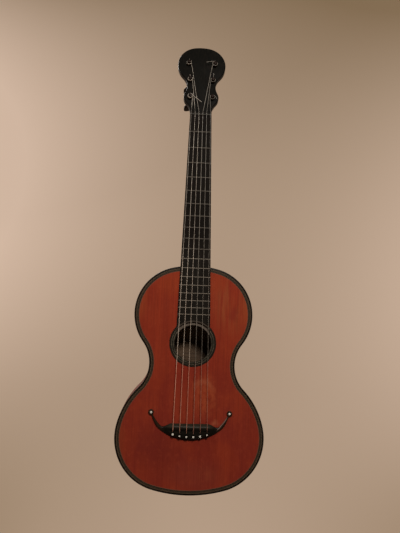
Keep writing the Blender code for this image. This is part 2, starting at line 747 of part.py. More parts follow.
def make_head():
    """Solid head for pegs from behind, with softened edges, cut flush against the end of the neck."""
    head = plate("head", [mirrored(head_half())], -HEAD_THICKNESS, 0.0, HEAD)
    bevel = head.modifiers.new("soften edges", "BEVEL")
    bevel.width = HEAD_BEVEL
    bevel.segments = 1
    bevel.limit_method = "ANGLE"
    bevel.angle_limit = math.radians(60.0)
    neck_end = box("head_foot_cut", (-JAW_WIDTH, -JAW_WIDTH, -JAW_WIDTH), (JAW_WIDTH, NECK_TOP + GAP, JAW_WIDTH),
                   FRONT)
    shape_with(head, neck_end)
    for number in range(1, 7):
        hole = cone(f"peg_hole_{number}", PEG_BACK_RADIUS + GAP, PEG_FRONT_RADIUS + GAP,
                    -HEAD_THICKNESS - TAPER_OVERRUN, TAPER_OVERRUN, peg_frame(number))
        shape_with(head, hole)
    return keep(soften(head), "black_stained_wood")


# Pegs
def peg_place(number):
    """Side and place of the peg of a string: strings 1 to 3 go to the bass side, lowest peg first."""
    side = -1 if number <= 3 else 1
    row = number - 1 if number <= 3 else 6 - number
    height, out = PEG_PLACES[row]
    return side, side * out, height


def peg_frame(number):
    side, x, height = peg_place(number)
    turn = math.radians(PEG_TURNS[number - 1])
    return HEAD @ Matrix.Translation((x, height, 0.0)) @ Matrix.Rotation(turn, 4, "Z")


def make_peg(number):
    """Turned friction peg: string barrel in front, tapered shank, collar and thumb paddle behind."""
    frame = peg_frame(number)
    behind = -(HEAD_THICKNESS + GAP)
    collar_end = behind - PEG_COLLAR_LENGTH
    stem_end = collar_end - PEG_STEM
    middle = stem_end - PADDLE_LENGTH / 2 + PADDLE_SUNK
    profile = [
        (0.0, PEG_STAND),
        (PEG_FRONT_RADIUS * 0.75, PEG_STAND - 0.0006),
        (PEG_FRONT_RADIUS * 1.12, PEG_STAND - 0.0020),
        (PEG_FRONT_RADIUS, PEG_STAND - 0.0030),
        (PEG_FRONT_RADIUS, 0.0),
        (PEG_BACK_RADIUS, -HEAD_THICKNESS),
        (PEG_BACK_RADIUS, behind),
        (PEG_COLLAR_RADIUS, behind - 0.0004),
        (PEG_COLLAR_RADIUS, collar_end),
        (PEG_BACK_RADIUS * 0.78, collar_end - 0.0020),
        (PEG_BACK_RADIUS * 0.95, stem_end),
        (PADDLE_THICKNESS * 0.30, middle),
        (0.0, middle - 0.0010),
    ]
    peg = turned(f"peg_{number}", profile, PEG_SIDES, frame)
    bpy.ops.mesh.primitive_uv_sphere_add(segments=PEG_SIDES, ring_count=7, radius=0.5)
    paddle = bpy.context.object
    paddle.name = f"peg_{number}_paddle"
    paddle.data.transform(Matrix.Diagonal((PADDLE_WIDTH, PADDLE_THICKNESS, PADDLE_LENGTH, 1.0)))
    paddle.matrix_world = frame @ Matrix.Translation((0.0, 0.0, middle))
    shape_with(peg, paddle, "UNION")
    return keep(peg, "ebony")


# Bridge, saddle and pins
def smile_centre():
    return (0.0, BRIDGE_REAR_Z + BRIDGE_SMILE_RADIUS)


def bridge_half():
    """Right half of the bridge outline: rear curve, curl, inner edge of the arm, notch and front."""
    centre = smile_centre()
    curl_angle = angle_from(centre, CURL_CENTRE)
    curl_reach = math.hypot(CURL_CENTRE[0] - centre[0], CURL_CENTRE[1] - centre[1])
    outer_end = curl_angle - math.radians(5.0)
    rear = arc(centre, BRIDGE_SMILE_RADIUS, -math.pi / 2, outer_end - math.radians(12.0), 0.007)
    start = curl_angle - math.radians(95.0)
    curl = arc(CURL_CENTRE, CURL_RADIUS, start, start + math.radians(285.0), 0.0024)
    inner_reach = curl_reach - CURL_RADIUS * 0.15
    notch_angle = angle_from(centre, BRIDGE_NOTCH)
    notch_reach = math.hypot(BRIDGE_NOTCH[0] - centre[0], BRIDGE_NOTCH[1] - centre[1])
    inner = []
    steps = 6
    for i in range(1, steps + 1):
        part = i / steps
        turn = (curl_angle - math.radians(7.0)) * (1 - part) + notch_angle * part
        reach = inner_reach * (1 - part) + notch_reach * part
        inner.append((centre[0] + reach * math.cos(turn), centre[1] + reach * math.sin(turn)))
    front = [(BRIDGE_HALF_FRONT, BRIDGE_FRONT_Z)]
    return [(0.0, BRIDGE_REAR_Z)] + rear + curl + inner + front


def pin_places():
    """Pin centres on a shallow arc behind the saddle, bass to treble."""
    places = []
    for number in range(1, 7):
        x = string_x(number, SADDLE_SPREAD)
        places.append((x, PIN_ROW_Z + PIN_ROW_RADIUS - math.sqrt(PIN_ROW_RADIUS**2 - x**2)))
    return places


def saddle_z():
    return -(STRING_LENGTH + COMPENSATION)


def make_bridge():
    """Moustache bridge carved from one piece: plan outline, side profile and low arms."""
    low = GAP
    bridge = plate("bridge", [mirrored(bridge_half())], low, BRIDGE_HEIGHT, FRONT)
    side_profile = [
        (BRIDGE_REAR_Z - OVERRUN, 0.0),
        (BRIDGE_REAR_Z - OVERRUN, BRIDGE_EDGE_HEIGHT),
        (BRIDGE_REAR_Z, BRIDGE_EDGE_HEIGHT),
        (BRIDGE_REAR_Z + BRIDGE_REAR_SLOPE * 0.4, BRIDGE_HEIGHT * 0.82),
        (BRIDGE_REAR_Z + BRIDGE_REAR_SLOPE, BRIDGE_HEIGHT + GAP),
        (BRIDGE_FRONT_Z - BRIDGE_RAMP, BRIDGE_HEIGHT + GAP),
        (BRIDGE_FRONT_Z, BRIDGE_EDGE_HEIGHT),
        (CURL_CENTRE[1] + OVERRUN, BRIDGE_EDGE_HEIGHT),
        (CURL_CENTRE[1] + OVERRUN, 0.0),
    ]
    reach = CURL_CENTRE[0] + OVERRUN
    along_x = Matrix(((0, 0, 1), (1, 0, 0), (0, 1, 0))).to_4x4()
    sides = plate("bridge_side_profile", [side_profile], -reach, reach, FRONT @ along_x)
    end_profile = [
        (reach, 0.0),
        (reach, BRIDGE_EDGE_HEIGHT),
        (BRIDGE_NOTCH[0] + 0.0010, BRIDGE_EDGE_HEIGHT),
        (BRIDGE_NOTCH[0] - BRIDGE_END_SLOPE, BRIDGE_HEIGHT * 0.72),
        (BRIDGE_SHOULDER, BRIDGE_HEIGHT + GAP),
    ]
    ends_loop = end_profile + [(-x, y) for x, y in reversed(end_profile)]
    along_z = Matrix(((1, 0, 0), (0, 0, -1), (0, 1, 0))).to_4x4()
    ends = plate("bridge_end_profile", [ends_loop], -CURL_CENTRE[1] - OVERRUN, -BRIDGE_REAR_Z + OVERRUN,
                 FRONT @ along_z)
    shape_with(bridge, sides, "INTERSECT")
    shape_with(bridge, ends, "INTERSECT")
    slot_half = SADDLE_THICKNESS / 2 + GAP
    slot = box("saddle_slot", (-SADDLE_LENGTH / 2 - GAP, saddle_z() - slot_half, BRIDGE_HEIGHT - SADDLE_SUNK - GAP),
               (SADDLE_LENGTH / 2 + GAP, saddle_z() + slot_half, BRIDGE_HEIGHT + OVERRUN), FRONT)
    shape_with(bridge, slot)
    for number, place in enumerate(pin_places(), 1):
        frame = FRONT @ Matrix.Translation((*place, 0.0))
        wide = PIN_RADIUS + 2 * GAP
        shape_with(bridge, cone(f"bridge_pin_hole_{number}", wide, wide, -OVERRUN, 2 * OVERRUN, frame, PIN_SIDES))
        shape_with(bridge, string_ramp(number, place))
    for side in (-1, 1):
        recess = cone(f"dot_recess_{side}", CURL_DOT_RADIUS + GAP, CURL_DOT_RADIUS + GAP,
                      BRIDGE_EDGE_HEIGHT - CURL_DOT_THICKNESS - GAP, BRIDGE_EDGE_HEIGHT + OVERRUN,
                      FRONT @ Matrix.Translation((side * CURL_CENTRE[0], CURL_CENTRE[1], 0.0)))
        shape_with(bridge, recess)
    return keep(bridge, "ebony")


def string_entry(number, place):
    """Where a string turns down into its pin hole, and where it crosses the saddle."""
    radius = STRING_DIAMETERS[number - 1] / 2
    hole_edge = PIN_RADIUS + 2 * GAP
    beside_pin = place[1] + hole_edge - STRING_GAP - radius
    entry = Vector((place[0], beside_pin, BRIDGE_HEIGHT - STRING_ENTRY_DEPTH))
    crossing = Vector((place[0], saddle_z(), SADDLE_STRING_HEIGHT))
    return entry, crossing


def string_ramp(number, place):
    """Cutter for the sloping slot that leads a string from the saddle under the pin's head."""
    entry, crossing = string_entry(number, place)
    radius = STRING_DIAMETERS[number - 1] / 2
    slope = math.atan2(crossing.z - entry.z, crossing.y - entry.y)
    frame = FRONT @ Matrix.Translation(entry) @ Matrix.Rotation(slope, 4, "X")
    side = radius + STRING_GAP
    return box(f"string_ramp_{number}", (-side, -PIN_RADIUS, -side), (side, OVERRUN, OVERRUN), frame)


def make_saddle():
    """Saddle in its slot, rounded in front and falling away behind where the strings turn down."""
    top = SADDLE_STRING_HEIGHT - max(STRING_DIAMETERS) / 2 - STRING_GAP
    low = BRIDGE_HEIGHT - SADDLE_SUNK
    half = SADDLE_THICKNESS / 2
    section = [(saddle_z() - half, low), (saddle_z() + half, low), (saddle_z() + half, top - half),
               (saddle_z() + half / 2, top), (saddle_z(), top), (saddle_z() - half, top - half)]
    along_x = Matrix(((0, 0, 1), (1, 0, 0), (0, 1, 0))).to_4x4()
    return keep(plate("saddle", [section], -SADDLE_LENGTH / 2, SADDLE_LENGTH / 2, FRONT @ along_x), "ebony")


def make_dots():
    for name, side in (("bridge_dot_bass", -1), ("bridge_dot_treble", 1)):
        frame = FRONT @ Matrix.Translation((side * CURL_CENTRE[0], CURL_CENTRE[1], 0.0))
        top = BRIDGE_EDGE_HEIGHT
        dot = cone(name, CURL_DOT_RADIUS, CURL_DOT_RADIUS, top - CURL_DOT_THICKNESS, top, frame)
        keep(dot, "pearl")


def make_pin(number, place):
    """Turned bridge pin with a groove down its front for the string."""
    seat = BRIDGE_HEIGHT + GAP
    frame = FRONT @ Matrix.Translation((*place, 0.0))
    profile = [
        (0.0, seat + PIN_HEAD_HEIGHT),
        (PIN_HEAD_RADIUS * 0.62, seat + PIN_HEAD_HEIGHT * 0.90),
        (PIN_HEAD_RADIUS, seat + PIN_HEAD_HEIGHT * 0.50),
        (PIN_HEAD_RADIUS * 0.85, seat),
        (PIN_RADIUS, seat),
        (PIN_TIP_RADIUS, -PIN_END_DEPTH + 0.0015),
        (PIN_TIP_RADIUS * 0.5, -PIN_END_DEPTH),
        (0.0, -PIN_END_DEPTH),
    ]
    pin = turned(f"bridge_pin_{number}", profile, PIN_SIDES, frame)
    entry, crossing = string_entry(number, place)
    radius = STRING_DIAMETERS[number - 1] / 2
    side = radius + STRING_GAP
    floor = entry.y - place[1] - radius - STRING_GAP
    groove = box(f"pin_groove_{number}", (-side, floor, -OVERRUN * 2), (side, OVERRUN, seat - GAP / 2), frame)
    shape_with(pin, groove)
    return keep(pin, "ebony")


# Strings
def coil_tangent(start, centre, radius, side):
    """Angle on a barrel where a string that comes up from start begins to lie on it."""
    away = Vector((start[0] - centre[0], start[1] - centre[1]))
    spread = math.acos(radius / away.length)
    toward = math.atan2(away.y, away.x)
    return toward - side * spread


def string_route(number, place):
    """Route of one string in the world, from under the soundboard to the last turn on its peg."""
    diameter = STRING_DIAMETERS[number - 1]
    entry, crossing = string_entry(number, place)
    nut_x = string_x(number, NUT_SPREAD)
    drop = Vector((entry.x, entry.y, -STRING_END_DEPTH))
    over_nut = Vector((nut_x, 0.0, NUT_STRING_HEIGHT))
    front_points = [drop, Vector((entry.x, entry.y, 0.0)), entry, crossing]
    span = 6
    front_points += [crossing.lerp(over_nut, i / span) for i in range(1, span + 1)]
    route = [FRONT @ point for point in front_points]
    nut_back = FRONT @ Vector((nut_x, NUT_THICKNESS, NUT_STRING_HEIGHT - NUT_THICKNESS * math.tan(NUT_SLOT_FALL)))
    route.append(nut_back)
    start = HEAD.inverted() @ nut_back
    side, x, height = peg_place(number)
    coil_radius = PEG_FRONT_RADIUS + STRING_GAP + diameter / 2
    first = coil_tangent((start.x, start.y), (x, height), coil_radius, side)
    climb = diameter + COIL_GAP
    count = round(COIL_TURNS * COIL_POINTS)
    for i in range(count + 1):
        turn = i / COIL_POINTS
        angle = first - side * 2 * math.pi * turn
        point = (x + coil_radius * math.cos(angle), height + coil_radius * math.sin(angle), COIL_START + climb * turn)
        route.append(HEAD @ Vector(point))
    return route


def least_gap(points, diameter):
    """Least clear distance between stretches of one cord that aren't neighbours along it."""
    apart = 2 * COIL_POINTS // 3
    nearest = min(
        (first - second).length
        for i, first in enumerate(points)
        for second in points[i + apart:]
    )
    return nearest - diameter


def make_string(number, place):
    route = string_route(number, place)
    diameter = STRING_DIAMETERS[number - 1]
    coil = route[-round(COIL_TURNS * COIL_POINTS) - 1:]
    print(f"string_{number}: least gap to itself {least_gap(coil, diameter) * 1000:.3f} mm")
    tube(f"string_{number}", route, diameter, "wound_string" if number <= 3 else "gut")


clear_scene()
GUITAR = make_collection("early_guitar")
CUTTERS = make_collection("cutters")
NECK_TOP = NUT_THICKNESS + 2 * GAP
NUT_SLOT_FALL = math.radians(4.0)
BACK_LEAN = -math.atan2(DEPTH_AT_TAIL - DEPTH_AT_NECK, BODY_LENGTH)
FRONT = leaning_frame((0.0, 0.0, 0.0), 0.0)
BACK = leaning_frame((0.0, DEPTH_AT_TAIL, BODY_TOP - BODY_LENGTH), BACK_LEAN)
HEAD = leaning_frame((0.0, 0.0, NECK_TOP), HEAD_TILT)

make_rib("rib_bass", -1)
make_rib("rib_treble", 1)
make_soundboard()
make_back()
make_edges()
make_rosette()
make_bars()
make_blocks()
make_neck()
make_fingerboard()
make_frets()
make_nut()
make_head()
make_bridge()
make_saddle()
make_dots()
for string_number, pin_place in enumerate(pin_places(), 1):
    make_peg(string_number)
    make_pin(string_number, pin_place)
    make_string(string_number, pin_place)
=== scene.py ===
"""Looks of a six-string guitar of the early nineteenth century French kind, hanging upright.

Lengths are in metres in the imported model's frame: +Z up the neck, +X the treble side, the front
towards -Y. The origin is on the centre line, level with the nut, in the plane of the front.
"""
import json
import math

import bmesh
import bpy
from mathutils import Matrix, Vector

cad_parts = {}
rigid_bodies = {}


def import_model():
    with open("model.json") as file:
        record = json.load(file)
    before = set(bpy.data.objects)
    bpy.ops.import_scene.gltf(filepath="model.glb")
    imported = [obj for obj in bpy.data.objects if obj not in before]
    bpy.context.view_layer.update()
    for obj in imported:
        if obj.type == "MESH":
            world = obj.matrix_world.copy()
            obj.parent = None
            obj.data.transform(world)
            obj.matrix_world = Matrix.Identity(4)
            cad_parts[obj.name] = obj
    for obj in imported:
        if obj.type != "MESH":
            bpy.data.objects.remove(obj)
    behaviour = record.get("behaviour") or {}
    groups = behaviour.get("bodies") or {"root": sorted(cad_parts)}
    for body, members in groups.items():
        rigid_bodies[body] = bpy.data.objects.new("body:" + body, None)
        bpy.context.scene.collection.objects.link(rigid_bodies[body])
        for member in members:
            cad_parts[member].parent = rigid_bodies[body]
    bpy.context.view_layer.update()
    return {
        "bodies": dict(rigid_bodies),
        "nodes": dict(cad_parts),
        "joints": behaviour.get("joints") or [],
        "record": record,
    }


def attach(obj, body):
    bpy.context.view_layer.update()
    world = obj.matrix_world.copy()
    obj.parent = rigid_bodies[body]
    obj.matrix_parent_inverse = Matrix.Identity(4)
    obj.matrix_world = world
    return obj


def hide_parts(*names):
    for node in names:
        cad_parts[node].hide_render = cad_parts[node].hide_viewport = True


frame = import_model()
nodes = frame["nodes"]


# Camera
# The photograph was taken a good metre in front of the strings, a little to the bass side of the
# sound hole and just above it, with the lens tipped up five degrees and turned three.
CAMERA_PLACE = (-0.0478, -1.1000, -0.4067)
CAMERA_TURN = -2.963
CAMERA_TILT = 4.969
CAMERA_ROLL = 1.955


def added(name, data):
    """New object in the scene for a mesh, curve, lamp or camera."""
    made = bpy.data.objects.new(name, data)
    bpy.context.scene.collection.objects.link(made)
    return made


view = bpy.data.cameras.new("camera")
view.lens = 37.19
view.sensor_width = 36.0
view.clip_end = 50.0
camera = added("camera", view)
camera.matrix_world = (
    Matrix.Translation(CAMERA_PLACE)
    @ Matrix.Rotation(math.radians(CAMERA_TURN), 4, "Z")
    @ Matrix.Rotation(math.radians(90.0 + CAMERA_TILT), 4, "X")
    @ Matrix.Rotation(math.radians(CAMERA_ROLL), 4, "Z")
)
bpy.context.scene.camera = camera
bpy.context.scene.view_settings.view_transform = "Standard"


# Studio
# A round pale room without a ceiling is the backdrop, its uneven brightness painted light that the
# wall gives off itself; all is lit by one soft lamp high in front, a weaker one at the bass side, one
# behind and an even pale sky.
class Shade:
    """What one socket gives; sums and products written with it add Math nodes."""

    def __init__(self, finish, socket):
        self.finish = finish
        self.socket = socket

    def __add__(self, other):
        return self.finish.maths("ADD", self, other)

    def __sub__(self, other):
        return self.finish.maths("SUBTRACT", self, other)

    def __rsub__(self, other):
        return self.finish.maths("SUBTRACT", other, self)

    def __mul__(self, other):
        return self.finish.maths("MULTIPLY", self, other)

    def __truediv__(self, other):
        return self.finish.maths("DIVIDE", self, other)

    def __pow__(self, other):
        return self.finish.maths("POWER", self, other)

    __radd__ = __add__
    __rmul__ = __mul__


class Finish:
    """A node material: node() makes any node, and colours are laid on with mixed() and layered()."""

    def __init__(self, name, **constants):
        self.material = bpy.data.materials.new(name)
        self.material.use_nodes = True
        self.tree = self.material.node_tree
        self.shader = self.tree.nodes["Principled BSDF"]
        for socket, value in constants.items():
            self.shader.inputs[socket.replace("_", " ")].default_value = value

    def node(self, kind, settings, sockets, output=0):
        made = self.tree.nodes.new(kind)
        for name, value in settings.items():
            setattr(made, name, value)
        for name, value in sockets.items():
            if isinstance(name, int):
                socket = made.inputs[name]
            else:
                socket = next(s for s in made.inputs if name in (s.name, s.identifier))
            if isinstance(value, Shade):
                self.tree.links.new(value.socket, socket)
            else:
                socket.default_value = value
        return Shade(self, made.outputs[output])

    def maths(self, operation, first, second, clamped=False):
        settings = {"operation": operation, "use_clamp": clamped}
        return self.node("ShaderNodeMath", settings, {0: first, 1: second})

    def clamped(self, shade):
        return self.maths("ADD", shade, 0.0, True)

    def between(self, shade, low, high):
        """0 below low, 1 above high and a smooth rise from one to the other."""
        return self.node("ShaderNodeMapRange", {"interpolation_type": "SMOOTHSTEP"},
                         {"Value": shade, "From Min": low, "From Max": high})

    def place(self):
        """x, y and z of the piece's own place in the guitar."""
        here = self.node("ShaderNodeTexCoord", {}, {}, "Object")
        return [self.node("ShaderNodeSeparateXYZ", {}, {"Vector": here}, axis) for axis in "XYZ"]

    def noise(self, scale, detail=2.0, roughness=0.5, warp=0.0, shift=(0.0, 0.0, 0.0)):
        """Soft noise whose grains are 1/scale metres long each way."""
        here = self.node("ShaderNodeTexCoord", {}, {}, "Object")
        stretched = self.node("ShaderNodeMapping", {}, {"Vector": here, "Scale": scale, "Location": shift})
        return self.node("ShaderNodeTexNoise", {},
                         {"Vector": stretched, "Scale": 1.0, "Detail": detail, "Roughness": roughness,
                          "Distortion": warp}, "Fac")

    def mixed(self, factor, first, second):
        """First colour where the factor is 0, second where it is 1."""
        first, second = [c if isinstance(c, Shade) else (*c, 1.0) for c in (first, second)]
        return self.node("ShaderNodeMix", {"data_type": "RGBA"},
                         {"Factor_Float": factor, "A_Color": first, "B_Color": second}, 2)

    def layered(self, ground, *layers):
        """Ground colour with others laid over it in turn, each where its own factor is 1."""
        for factor, colour in layers:
            ground = self.mixed(factor, ground, colour)
        return ground

    def paint(self, socket, shade):
        self.tree.links.new(shade.socket, self.shader.inputs[socket])

    def relief(self, height, depth, strength):
        """Bump from a height of 0 to 1 that stands for a depth in metres."""
        bump = self.node("ShaderNodeBump", {}, {"Height": height, "Distance": depth, "Strength": strength})
        self.paint("Normal", bump)


def skin(name, rings, closed=False, strips=None):
    """Solid through rings of equally many points, capped at its ends or joined all the way round."""
    shape = bmesh.new()
    rows = [[shape.verts.new(point) for point in ring] for ring in rings]
    count = len(rows[0])
    following_rows = rows[1:] + rows[:1] if closed else rows[1:]
    for row, following in zip(rows, following_rows):
        for i in range(count):
            j = (i + 1) % count
            face = shape.faces.new((row[i], row[j], following[j], following[i]))
            if strips is not None:
                face.material_index = strips[i]
    if not closed:
        shape.faces.new(list(reversed(rows[0])))
        shape.faces.new(rows[-1])
    bmesh.ops.remove_doubles(shape, verts=shape.verts, dist=0.000001)
    bmesh.ops.recalc_face_normals(shape, faces=shape.faces)
    mesh = bpy.data.meshes.new(name)
    shape.to_mesh(mesh)
    shape.free()
    return added(name, mesh)


def smooth(piece, angle=38.0):
    """Round surfaces shade smooth and real corners stay crisp."""
    piece.data.shade_smooth()
    piece.data.set_sharp_from_angle(angle=math.radians(angle))
    return piece


def coat(piece, *finishes):
    """Give a piece its finishes, in the order of its faces' numbers."""
    for finish in finishes:
        piece.data.materials.append(finish.material)


def round_ring(radius, height, sides, frame=Matrix.Identity(4), flat=1.0):
    turns = [2 * math.pi * i / sides for i in range(sides)]
    return [frame @ Vector((radius * math.cos(a), radius * flat * math.sin(a), height)) for a in turns]


backdrop = Finish("pale_wall", Roughness=0.9)
x, y, z = backdrop.place()
across = backdrop.node("ShaderNodeClamp", {}, {"Value": (x - 0.194) / 1.67, "Min": -1.1, "Max": 1.1})
up = backdrop.node("ShaderNodeClamp", {}, {"Value": (z + 0.011) / 2.226, "Min": -1.1, "Max": 1.1})
# Painted light: the wall's glow rises and falls over x and z as light falling across it would, and only
# camera, glossy and transmission rays see it.
glow = 0.430 - 0.123 * across + 0.456 * across * across + 0.029 * up - 0.079 * up * up - 0.202 * up**3
glow = glow + across * up * (0.268 * across - 0.452 - 0.774 * across * up + 0.384 * up * up)
painted_wall_light = backdrop.mixed(backdrop.clamped(glow), (0.181, 0.118, 0.062), (0.582, 0.430, 0.329))
rays = [backdrop.node("ShaderNodeLightPath", {}, {}, f"Is {kind} Ray")
        for kind in ("Camera", "Glossy", "Transmission")]
seen = backdrop.clamped(rays[0] + rays[1] + rays[2])
backdrop.paint("Emission Color", backdrop.mixed(seen, (0.0, 0.0, 0.0), painted_wall_light))
backdrop.shader.inputs["Emission Strength"].default_value = 1.0
backdrop.shader.inputs["Base Color"].default_value = (0.110, 0.084, 0.062, 1.0)
ROOM_RADIUS = 3.6
ROOM_TOP = 4.0
ROOM_SHELL = 0.05
FLOOR = -2.0
SWEEP = 1.0
room_profile = [(0.001, FLOOR), (1.5, FLOOR)]
for degrees in range(0, 91, 10):
    turn = math.radians(degrees)
    out = ROOM_RADIUS - SWEEP + SWEEP * math.sin(turn)
    room_profile.append((out, FLOOR + SWEEP - SWEEP * math.cos(turn)))
room_profile += [(ROOM_RADIUS, ROOM_TOP), (ROOM_RADIUS + ROOM_SHELL, ROOM_TOP)]
room_profile += [(ROOM_RADIUS + ROOM_SHELL, FLOOR - ROOM_SHELL), (0.001, FLOOR - ROOM_SHELL)]
room = skin("room", [round_ring(r, h, 72) for r, h in room_profile])
room.data.shade_smooth()
coat(room, backdrop)

sky = bpy.data.worlds.new("sky")
sky.use_nodes = True
sky.node_tree.nodes["Background"].inputs["Color"].default_value = (1.0, 0.95, 0.89, 1.0)
sky.node_tree.nodes["Background"].inputs["Strength"].default_value = 0.40
bpy.context.scene.world = sky

LAMPS = (
    ("key_lamp", (0.28, -2.20, 0.95), 0.50, 62.0, (1.0, 0.94, 0.87)),
    ("bass_side_lamp", (-1.95, -1.50, 1.45), 0.70, 16.0, (1.0, 0.96, 0.92)),
    ("rear_lamp", (-1.30, 2.20, 1.60), 1.20, 70.0, (1.0, 0.96, 0.92)),
)
for name, place, size, power, tint in LAMPS:
    lamp = bpy.data.lights.new(name, "AREA")
    lamp.shape = "DISK"
    lamp.size = size
    lamp.energy = power
    lamp.color = tint
    holder = added(name, lamp)
    holder.location = place
    aim = Vector((0.0, 0.0, -0.40)) - Vector(place)
    holder.rotation_mode = "QUATERNION"
    holder.rotation_quaternion = aim.to_track_quat("-Z", "Y")


# Soundboard
# Thin spruce plate with fine upright grain under a red-brown varnish, worn a little paler around
# the bridge and paler at the treble shoulder. It is let in between the inlaid edge and round the hole.
BODY_TOP = -0.3099
BODY_LENGTH = 0.4473
BODY_TAIL = BODY_TOP - BODY_LENGTH
LOWER_WIDTH = 0.2927
UPPER_WIDTH = 0.2355
EDGE_WIDTH = 0.0038
INLAY_WIDTH = 0.0059
INLAID_EDGE = EDGE_WIDTH + INLAY_WIDTH
INLAY_DEPTH = 0.0014
BOARD_THICKNESS = 0.0028
HOLE_Z = -0.4643
HOLE_RADIUS = 0.0359
ROSETTE_RADIUS = 0.0466
HOLE_SIDES = 120
CUT_CLEAR = 0.01
FRONT = Matrix(((1, 0, 0, 0), (0, 0, -1, 0), (0, 1, 0, 0), (0, 0, 0, 1)))


def arc_stations(centre, radius, start, end, step):
    """Points along an arc, each with its direction into the body; a hollow arc's angle falls."""
    turn = end - start
    count = max(2, math.ceil(abs(turn) * radius / step))
    inward = -1.0 if turn > 0 else 1.0
    stations = []
    for i in range(1, count + 1):
        angle = start + turn * i / count
        away = (math.cos(angle), math.sin(angle))
        stations.append((centre[0] + radius * away[0], centre[1] + radius * away[1],
                         inward * away[0], inward * away[1]))
    return stations


def touching(first, first_radius, second, second_radius, radius):
    """Centre of a circle on the right of two others that touches both from outside."""
    reaches = (first_radius + radius, second_radius + radius)
    across = (second[0] - first[0], second[1] - first[1])
    span = math.hypot(*across)
    along = (reaches[0] ** 2 - reaches[1] ** 2 + span**2) / (2 * span)
    off = math.sqrt(reaches[0] ** 2 - along**2)
    unit = (across[0] / span, across[1] / span)
    return (first[0] + along * unit[0] + off * unit[1], first[1] + along * unit[1] - off * unit[0])


def heading(centre, point):
    return math.atan2(point[1] - centre[1], point[0] - centre[0])


def body_stations():
    """Treble half of the body's edge from tail to neck: tail, lower bout, waist and upper bout."""
    tail_radius, lower_radius, flank_radius, waist_radius = 0.2644, 0.1028, 0.1492, 0.0682
    upper_radius, top_radius, flank_turn, step = 0.0943, 0.1899, math.radians(12.6), 0.0045
    tail = (0.0, BODY_TAIL + tail_radius)
    lower_x = LOWER_WIDTH / 2 - lower_radius
    lower = (lower_x, tail[1] - math.sqrt((tail_radius - lower_radius) ** 2 - lower_x**2))
    reach = flank_radius - lower_radius
    flank = (lower[0] - reach * math.cos(flank_turn), lower[1] - reach * math.sin(flank_turn))
    top = (0.0, BODY_TOP - top_radius)
    upper_x = UPPER_WIDTH / 2 - upper_radius
    upper = (upper_x, top[1] + math.sqrt((top_radius - upper_radius) ** 2 - upper_x**2))
    waist = touching(flank, flank_radius, upper, upper_radius, waist_radius)
    tail_end = heading(tail, lower)
    flank_end = heading(flank, waist)
    waist_end = heading(waist, upper) % (2 * math.pi)
    upper_end = heading(top, upper)
    stations = [(0.0, BODY_TAIL, 0.0, 1.0)]
    stations += arc_stations(tail, tail_radius, -math.pi / 2, tail_end, step)
    stations += arc_stations(lower, lower_radius, tail_end, flank_turn, step)
    stations += arc_stations(flank, flank_radius, flank_turn, flank_end, step)
    stations += arc_stations(waist, waist_radius, flank_end + math.pi, waist_end, step)
    stations += arc_stations(upper, upper_radius, waist_end - math.pi, upper_end, step)
    stations += arc_stations(top, top_radius, upper_end, math.pi / 2, step)
    return stations


half_edge = body_stations()
body_edge = half_edge + [(-x, z, -nx, nz) for x, z, nx, nz in reversed(half_edge[1:-1])]


def inside(stations, inset):
    return [(x + nx * inset, z + nz * inset) for x, z, nx, nz in stations]


def round_the_hole(radius):
    turns = [2 * math.pi * i / HOLE_SIDES for i in range(HOLE_SIDES)]
    return [(radius * math.cos(a), HOLE_Z + radius * math.sin(a)) for a in turns]


def from_hole(point):
    return math.hypot(point.x, point.z - HOLE_Z)


def sheet(name, loops, near, far, frame):
    """Flat piece cut to an outline, with any holes, between two heights over a frame's plane."""
    curve = bpy.data.curves.new(name, "CURVE")
    curve.dimensions = "2D"
    curve.fill_mode = "BOTH"
    curve.extrude = (far - near) / 2
    for loop in loops:
        spline = curve.splines.new("POLY")
        spline.points.add(len(loop) - 1)
        for point, (px, py) in zip(spline.points, loop):
            point.co = (px, py, 0.0, 1.0)
        spline.use_cyclic_u = True
    drawn = added(name, curve)
    bpy.context.view_layer.update()
    mesh = bpy.data.meshes.new_from_object(drawn.evaluated_get(bpy.context.evaluated_depsgraph_get()))
    bpy.data.objects.remove(drawn, do_unlink=True)
    mesh.transform(frame @ Matrix.Translation((0.0, 0.0, (near + far) / 2)))
    cleaned = bmesh.new()
    cleaned.from_mesh(mesh)
    bmesh.ops.remove_doubles(cleaned, verts=cleaned.verts, dist=0.000005)
    bmesh.ops.dissolve_limit(cleaned, angle_limit=math.radians(0.1), verts=[], edges=cleaned.edges)
    bmesh.ops.recalc_face_normals(cleaned, faces=cleaned.faces)
    cleaned.to_mesh(mesh)
    cleaned.free()
    return added(name, mesh)


def carve(piece, tool, operation="DIFFERENCE"):
    """Cut or join a piece with a tool that is then put away."""
    change = piece.modifiers.new("carve", "BOOLEAN")
    change.operation = operation
    change.solver = "EXACT"
    change.object = tool
    bpy.context.view_layer.update()
    shaped = bpy.data.meshes.new_from_object(piece.evaluated_get(bpy.context.evaluated_depsgraph_get()))
    piece.modifiers.clear()
    piece.data = shaped
    bpy.data.objects.remove(tool, do_unlink=True)


def sides_by_facing(piece, sides):
    """Give faces that look to the back (over 0.5) or the front (under -0.5) their own finish."""
    for face in piece.data.polygons:
        for limit, number in sides:
            if face.normal.y * math.copysign(1.0, limit) > abs(limit):
                face.material_index = number


board_loops = [inside(body_edge, EDGE_WIDTH), round_the_hole(HOLE_RADIUS)]
soundboard = sheet("soundboard_visual", board_loops, -BOARD_THICKNESS, 0.0, FRONT)
edge_loops = [inside(body_edge, -CUT_CLEAR), inside(body_edge, INLAID_EDGE)]
carve(soundboard, sheet("edge_rebate", edge_loops, -INLAY_DEPTH, CUT_CLEAR, FRONT))
ring_loops = [round_the_hole(ROSETTE_RADIUS), round_the_hole(HOLE_RADIUS / 2)]
carve(soundboard, sheet("ring_rebate", ring_loops, -INLAY_DEPTH, CUT_CLEAR, FRONT))

